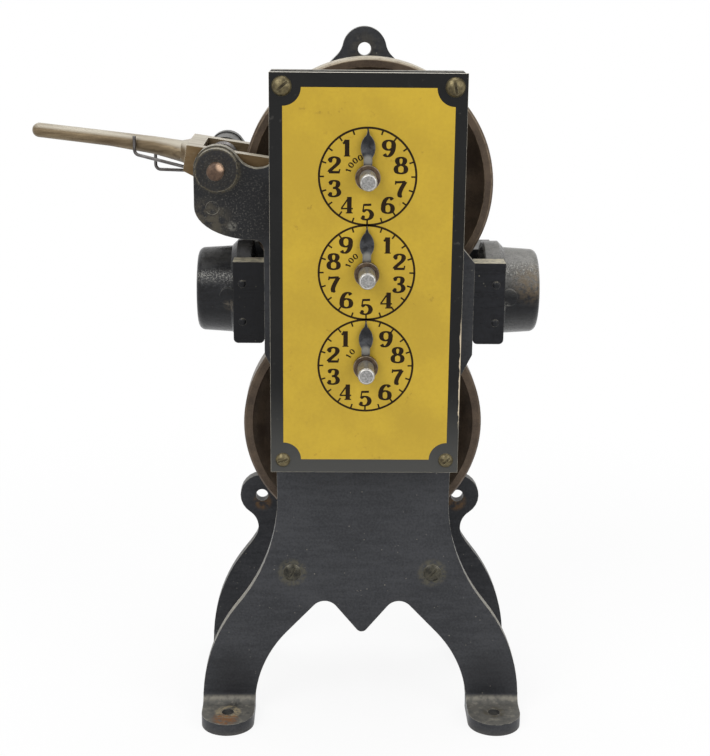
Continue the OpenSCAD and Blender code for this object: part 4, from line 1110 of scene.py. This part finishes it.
NUMERALS = {
    "0": Numeral((((0.32, 0.98), (0.12, 0.82), (0.06, 0.5), (0.12, 0.18), (0.32, 0.02), (0.52, 0.18),
                   (0.58, 0.5), (0.52, 0.82), (0.32, 0.98)),)),
    "1": Numeral((((0.33, 1.0), (0.33, 0.0)), ((0.12, 0.78), (0.22, 0.83), (0.31, 0.97))),
                 (((0.17, 0.03), (0.49, 0.03), 0.06),)),
    "2": Numeral((((0.1, 0.73), (0.14, 0.88), (0.3, 0.97), (0.48, 0.9), (0.53, 0.74), (0.46, 0.56),
                   (0.3, 0.38), (0.14, 0.2), (0.07, 0.06)),),
                 (((0.05, 0.07), (0.55, 0.07), 0.15), ((0.55, 0.0), (0.59, 0.26), 0.07)),
                 ((0.13, 0.73, 0.09),)),
    "3": Numeral((((0.1, 0.8), (0.18, 0.93), (0.32, 0.97), (0.46, 0.91), (0.5, 0.76), (0.43, 0.6),
                   (0.25, 0.53)),
                  ((0.25, 0.53), (0.45, 0.48), (0.55, 0.29), (0.48, 0.1), (0.3, 0.02), (0.14, 0.06),
                   (0.08, 0.2))), (), ((0.13, 0.8, 0.085), (0.12, 0.2, 0.09))),
    "4": Numeral((((0.44, 1.0), (0.44, 0.0)),),
                 (((0.42, 0.97), (0.05, 0.32), 0.08), ((0.02, 0.29), (0.62, 0.29), 0.09),
                  ((0.27, 0.03), (0.61, 0.03), 0.07))),
    "5": Numeral((((0.1, 0.5), (0.27, 0.61), (0.45, 0.55), (0.55, 0.35), (0.48, 0.12), (0.3, 0.02),
                   (0.14, 0.06), (0.08, 0.18)),),
                 (((0.14, 0.91), (0.52, 0.93), 0.14), ((0.15, 0.96), (0.1, 0.5), 0.07)),
                 ((0.12, 0.19, 0.09),)),
    "6": Numeral((((0.56, 0.84), (0.47, 0.95), (0.34, 0.96), (0.2, 0.82), (0.11, 0.56), (0.1, 0.3)),
                  ((0.33, 0.59), (0.14, 0.49), (0.09, 0.3), (0.15, 0.11), (0.33, 0.03), (0.51, 0.11),
                   (0.57, 0.3), (0.51, 0.5), (0.33, 0.59)))),
    "7": Numeral((((0.56, 0.94), (0.44, 0.7), (0.33, 0.44), (0.27, 0.2), (0.3, 0.02)),),
                 (((0.07, 0.9), (0.56, 0.93), 0.14), ((0.08, 0.99), (0.06, 0.76), 0.07)),
                 ((0.32, 0.06, 0.09),)),
    "8": Numeral((((0.31, 0.97), (0.16, 0.9), (0.12, 0.75), (0.18, 0.6), (0.31, 0.53), (0.44, 0.6),
                   (0.5, 0.75), (0.46, 0.9), (0.31, 0.97)),
                  ((0.31, 0.53), (0.12, 0.44), (0.06, 0.27), (0.12, 0.09), (0.31, 0.02), (0.5, 0.09),
                   (0.56, 0.27), (0.5, 0.44), (0.31, 0.53)))),
}
NUMERALS["9"] = NUMERALS["6"].turned()


@dataclass
class DialFace:
    """The dial plate's painted face: yellow field, rings, marks and numbers. Sizes are in millimetres."""

    finishes: Finishes
    left_border: float = 4.9
    right_border: float = 4.5
    end_border: float = 5.3
    notch: float = 6.8
    notch_steps: int = 12
    paint_depth: float = 0.03
    stroke_rise: float = 0.002
    ring_radius: float = 18.35
    ring_width: float = 0.78
    ring_steps: int = 96
    tick_length: float = 1.5
    tick_width: float = 0.6
    tick_overlap: float = 0.1
    ticks: int = 20
    number_radius: float = 13.0
    number_turns: tuple[float, ...] = (36.5, 71.0, 110.0, 144.5, 180.0)
    number_stretch: float = 1.2
    number_height: float = 6.15
    thin: float = 0.1
    thick: float = 0.23
    reach_radius: float = 7.5
    reach_height: float = 2.0
    reach_step: float = 16.7

    def __post_init__(self) -> None:
        """Read the plate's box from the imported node."""
        self.low, self.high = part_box("dial_plate")

    def lay(self, outlines: Sequence[Sequence[Vector]], name: str, lift: float) -> Piece:
        """Make thin painted shapes from outlines that stand in X and Z.

        Args:
            outlines: Points of each outline, in metres.
            name: The piece's name.
            lift: Height of the paint in millimetres.

        Returns:
            The painted piece.
        """
        half = lift * MM / 2
        lines = [[(x, z, 0) for x, z in outline] for outline in outlines]
        piece = Bench.drawn(name, lines, True, dimensions="2D", fill_mode="BOTH", extrude=half)
        piece.rotation_euler = (math.pi / 2, 0, 0)
        piece.location = (0, self.low.y - half, 0)
        Bench.apply_place(piece)
        return piece

    def field(self) -> Piece:
        """Make the yellow field with a hollow quarter circle at each corner.

        Returns:
            The painted piece.
        """
        x0, x1 = self.low.x + self.left_border * MM, self.high.x - self.right_border * MM
        z0, z1 = self.low.z + self.end_border * MM, self.high.z - self.end_border * MM
        corner = self.notch * MM
        outline = []
        for x, z, start in ((x1, z0, 180), (x1, z1, 270), (x0, z1, 0), (x0, z0, 90)):
            for k in range(self.notch_steps + 1):
                angle = math.radians(start - 90 * k / self.notch_steps)
                outline.append(Vector((x, z)) + spoke(angle, corner))
        piece = self.lay([outline], "dial_field", self.paint_depth)
        Bench.dress(piece, self.finishes.yellow)
        return piece

    def ring_outline(self, centre: Vector, radius: float) -> list[Vector]:
        """Give a circle's points about a dial's centre, with the radius in millimetres."""
        turns = (2 * math.pi * k / self.ring_steps for k in range(self.ring_steps))
        return [centre + spoke(turn, radius * MM) for turn in turns]

    def tick_outline(self, centre: Vector, angle: float) -> list[Vector]:
        """Give the corners of one tick inside a dial's ring.

        Args:
            centre: The dial's centre in metres.
            angle: The tick's turn from the top in radians.

        Returns:
            The corners in metres.
        """
        out = hand(angle)
        side = Vector((out.y, -out.x)) * self.tick_width / 2
        inner = self.ring_radius - self.ring_width
        outer_end = out * (inner + self.tick_overlap)
        inner_end = out * (inner - self.tick_length)
        corners = (outer_end + side, outer_end - side, inner_end - side, inner_end + side)
        return [centre + corner * MM for corner in corners]

    def marks(self, dial: Dial) -> Piece:
        """Make one dial's ring, ticks, numbers and count.

        Args:
            dial: Which dial.

        Returns:
            The painted piece.
        """
        x, _, z = middle(f"{dial.word}_spindle")
        centre = Vector((x, z))
        lift = 2 * self.paint_depth
        radii = (self.ring_radius, self.ring_radius - self.ring_width)
        parts = [self.lay([self.ring_outline(centre, radius) for radius in radii], "ring", lift)]
        for k in range(self.ticks):
            angle = 2 * math.pi * k / self.ticks
            parts.append(self.lay([self.tick_outline(centre, angle)], "tick", lift))
        turns = self.number_turns + tuple(360 - turn for turn in self.number_turns[-2::-1])
        for number, around in enumerate(turns, 1):
            spot = hand(dial.turn * math.radians(around), self.number_radius)
            parts += self.write(str(number), centre, spot, 0.0, self.number_height, lift)
        for k, letter in enumerate(dial.reach):
            angle = math.radians(dial.reach_start + self.reach_step * k)
            spot = hand(angle, self.reach_radius)
            parts += self.write(letter, centre, spot, -angle, self.reach_height, lift)
        piece = Bench.join(parts, f"{dial.word}_marks")
        Bench.dress(piece, self.finishes.ink)
        return piece

    def write(self, figure: str, centre: Vector, spot: Vector, turn: float, height: float,
              lift: float) -> list[Piece]:
        """Paint one figure about a spot.

        Args:
            figure: The figure.
            centre: The dial's centre in metres.
            spot: The figure's middle from that centre, in millimetres.
            turn: The figure's turn in radians.
            height: The figure's height in millimetres.
            lift: Height of the paint in millimetres.

        Returns:
            The painted strokes.
        """
        turned = Matrix.Rotation(turn, 2)

        def put(point: Vector) -> Vector:
            """Bring a point of the figure's own box to the dial."""
            offset = (point - NUMERAL_BOX / 2) * height
            return centre + (spot + turned @ Vector((offset.x * self.number_stretch, offset.y))) * MM

        shapes = NUMERALS[figure].shapes(self.thin, self.thick)
        drawn = [[[put(point) for point in outline] for outline in shape] for shape in shapes]
        return [self.lay(shape, "stroke", lift + self.stroke_rise * i) for i, shape in enumerate(drawn)]

    def build(self) -> None:
        """Make the field and the three dials' marks."""
        for piece in (self.field(), *map(self.marks, Dial)):
            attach(piece, "frame")


@dataclass
class LeverSpring:
    """The lever's wire spring: two coils on the pivot, two hooked legs and a bridge on the post.

    Sizes are in millimetres and repeat those of the part's source.
    """

    finishes: Finishes
    wire_d: float = 1.3
    coil_r: float = 5.4
    coil_pitch: float = 2.05
    coil_turns: int = 2
    coil_steps: int = 90
    front_slope: float = 14.0
    rear_slope: float = 1.8
    front_reach: float = 33.3
    rear_reach: float = 26.5
    hook_h: float = 7.0
    bend_r: float = 2.0
    bend_steps: int = 8
    leg_side: float = 5.45
    post_drop: float = 14.8
    post_d: float = 5.0
    smooth_angle: float = 50

    def __post_init__(self) -> None:
        """Read the pivot and the wheels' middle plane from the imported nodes."""
        x, _, z = middle("lever_pivot_pin")
        self.pivot = Vector((x, z)) / MM
        self.middle = middle("pressure_wheel")[1] / MM
        self.bridge_z = self.pivot.y - self.post_drop - self.post_d / 2

    def sweep(self, slope: float) -> float:
        """Turn of a coil whose leg has the given slope, both in degrees."""
        return 270 + slope + 360 * self.coil_turns

    @staticmethod
    def stand(flat: Vector, y: float) -> Vector:
        """Put a point of X and Z at a place along Y."""
        return Vector((flat.x, y, flat.y))

    def coil_width(self, slope: float) -> float:
        """Width of a coil whose leg has the given slope in degrees."""
        return self.coil_pitch * self.sweep(slope) / 360

    def leg_and_coil(self, side: int, slope: float, reach: float) -> list[Vector]:
        """Give the wire's path from a leg's end round its coil.

        Args:
            side: -1 for the front coil, 1 for the rear one.
            slope: The leg's slope in degrees.
            reach: The leg's reach to the left of the pivot.

        Returns:
            Points along the wire, in millimetres.
        """
        start_a = math.radians(-90 - slope)
        sweep = math.radians(self.sweep(slope))
        y = self.middle + side * self.leg_side
        tilt = math.radians(slope)
        start = self.pivot + spoke(start_a, self.coil_r)
        leg = Vector((-math.cos(tilt), math.sin(tilt)))
        corner = start + leg * (reach + start.x - self.pivot.x) / math.cos(tilt)
        bend = math.radians(90 - slope)
        centre = corner - leg * self.bend_r * math.tan(bend / 2) + hand(tilt, self.bend_r)
        path = [Vector((corner.x, y, corner.y + rise)) for rise in (self.hook_h, self.hook_h / 2)]
        for k in range(self.bend_steps + 1):
            a = math.pi + k * bend / self.bend_steps
            path.append(self.stand(centre + spoke(a, self.bend_r), y))
        for k in range(self.coil_steps + 1):
            share = k / self.coil_steps
            coil = self.pivot + spoke(start_a + sweep * share, self.coil_r)
            path.append(self.stand(coil, y + side * self.coil_width(slope) * share))
        return path

    def bridge(self) -> list[Vector]:
        """Give the wire's path from the front coil down, across the post and up to the rear coil.

        Returns:
            Points along the wire, in millimetres.
        """
        x = self.pivot.x - self.coil_r
        halves = []
        for side, slope in zip(SIDES, (self.front_slope, self.rear_slope)):
            y = self.middle + side * (self.leg_side + self.coil_width(slope))
            half = [Vector((x, y, self.pivot.y)), Vector((x, y, self.bridge_z + 2 * self.bend_r))]
            for k in range(self.bend_steps + 1):
                a = math.radians(90 * k / self.bend_steps)
                half.append(Vector((x, y - side * self.bend_r * (1 - math.cos(a)),
                                    self.bridge_z + self.bend_r * (1 - math.sin(a)))))
            halves.append(half)
        return halves[0] + halves[1][::-1]

    def tube(self, path: Sequence[Vector], name: str) -> Piece:
        """Draw round wire along a path.

        Args:
            path: Points along the wire, in millimetres.
            name: The piece's name.

        Returns:
            The wire as a mesh.
        """
        line = [place * MM for place in path]
        piece = Bench.drawn(name, [line], False, dimensions="3D", bevel_depth=self.wire_d * MM / 2,
                            bevel_resolution=4, use_fill_caps=True)
        Bench.smooth(piece, self.smooth_angle)
        Bench.dress(piece, self.finishes.spring)
        return piece

    def build(self) -> None:
        """Make the front half, the rear half and the bridge."""
        halves = (("front", -1, self.front_slope, self.front_reach),
                  ("rear", 1, self.rear_slope, self.rear_reach))
        for word, side, slope, reach in halves:
            piece = self.tube(self.leg_and_coil(side, slope, reach), f"spring_{word}_coil")
            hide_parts("lever_spring")
            inner = self.middle + side * self.leg_side
            outer = inner + side * self.coil_width(slope)
            outer * MM
            inner * MM
            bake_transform(piece)
        bridge = self.tube(self.bridge(), "spring_bridge")
        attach(bridge, "frame")
        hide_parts("lever_spring")


@dataclass
class Studio:
    """Pale floor, soft lights and the camera at the photograph's place."""

    camera_place: Place = (-0.01416, -0.58567, 0.30608)
    yaw: float = -1.061
    pitch: float = 15.87
    roll: float = -0.56
    lens: float = 71.43
    sensor: float = 36
    sight: float = 50
    floor_size: float = 60.0
    shade_reach: float = 420.0
    floor_shade: float = 0.12
    soft_light: float = 0.4
    lamps: tuple[tuple[str, Place, Place, float, float], ...] = (
        ("key", (-0.7, -0.9, 1.1), (0, 0, 0.14), 0.9, 9.5),
        ("fill", (0.9, -0.8, 0.7), (0, 0, 0.14), 0.9, 5.5),
        ("top", (0.0, 0.2, 1.3), (0, 0, 0.1), 1.0, 7))

    def camera(self) -> None:
        """Stand the camera where the photograph was taken."""
        yaw, pitch, roll = (math.radians(a) for a in (self.yaw, self.pitch, self.roll))
        data = bpy.data.cameras.new("photo_camera")
        data.lens = self.lens
        data.sensor_width = self.sensor
        data.clip_end = self.sight
        camera = Bench.add("photo_camera", data)
        turns = ((yaw, "Z"), (math.pi / 2 - pitch, "X"), (-roll, "Z"))
        turned_z, turned_x, rolled = (Matrix.Rotation(angle, 4, axis) for angle, axis in turns)
        camera.matrix_world = Matrix.Translation(self.camera_place) @ turned_z @ turned_x @ rolled
        bpy.context.scene.camera = camera

    def lamp(self, name: str, place: Place, target: Place, size: float, power: float) -> None:
        """Hang a square soft light.

        Args:
            name: The light's name.
            place: Where it hangs.
            target: What it points at.
            size: Its width.
            power: Its power in watts.
        """
        data = bpy.data.lights.new(name, "AREA")
        data.size = size
        data.energy = power
        lamp = Bench.add(name, data)
        lamp.location = place
        lamp.rotation_euler = (Vector(target) - Vector(place)).to_track_quat("-Z", "Y").to_euler()

    def world(self) -> None:
        """Give a white background to the camera, metal and glass, and a softer light to the rest."""
        world = bpy.data.worlds.new("studio")
        world.use_nodes = True
        bpy.context.scene.world = world
        kit = NodeKit(world.node_tree)
        background = kit.tree.nodes["Background"]
        kit.feed(background.inputs["Color"], WHITE)
        kit.feed(background.inputs["Strength"], self.soft_light + (1 - self.soft_light) * self.seen(kit))

    def seen(self, kit: NodeKit) -> Wire:
        """Give 1 for light that reaches the camera straight, by reflection or through glass.

        Args:
            kit: The nodes that ask for it.

        Returns:
            1 for such light and 0 for the rest.
        """
        paths = kit.node("LightPath")
        names = ("Is Camera Ray", "Is Glossy Ray", "Is Transmission Ray")
        straight, glossy, through = (Wire(kit, paths.outputs[name]) for name in names)
        return straight.most(glossy).most(through)

    def floor(self) -> None:
        """Lay a white floor that keeps a faint shadow about the machine."""
        bpy.ops.mesh.primitive_plane_add(size=self.floor_size, location=(0, 0, 0))
        floor = bpy.context.active_object
        floor.name = "floor"
        paint = Paint("pale_floor")
        paint.finish(tint(246, 246, 246), 0.9, sheen_level=0.0)
        glow = paint.node("Emission", {"Color": WHITE, "Strength": 1.0})
        shade = self.floor_shade * paint.near(ORIGIN, 0.5 * self.shade_reach, self.shade_reach)
        mixed = paint.node("MixShader", {0: self.seen(paint) * (1 - shade)})
        paint.tree.links.new(paint.shader.outputs[0], mixed.inputs[1])
        paint.tree.links.new(glow.outputs[0], mixed.inputs[2])
        paint.tree.links.new(mixed.outputs[0], paint.tree.nodes["Material Output"].inputs["Surface"])
        floor.data.materials.append(paint.material)

    def build(self) -> None:
        """Set up camera, world, lights and floor."""
        self.camera()
        self.world()
        for lamp in self.lamps:
            self.lamp(*lamp)
        self.floor()
        bpy.context.scene.view_settings.view_transform = "Standard"


def main() -> None:
    """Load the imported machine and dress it, with a report of each piece."""
    logging.basicConfig(level=logging.INFO, format="%(message)s")
    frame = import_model()
    Bench.clear()
    record = frame["record"]
    slots = {part["node"]: part["material_slot"] for part in record["subparts"]}
    finishes = Finishes()
    Studio().build()
    NodeDressing(finishes).dress(record["behaviour"]["bodies"], slots)
    DialFace(finishes).build()
    LeverSpring(finishes).build()


if __name__ == "__main__":
    main()
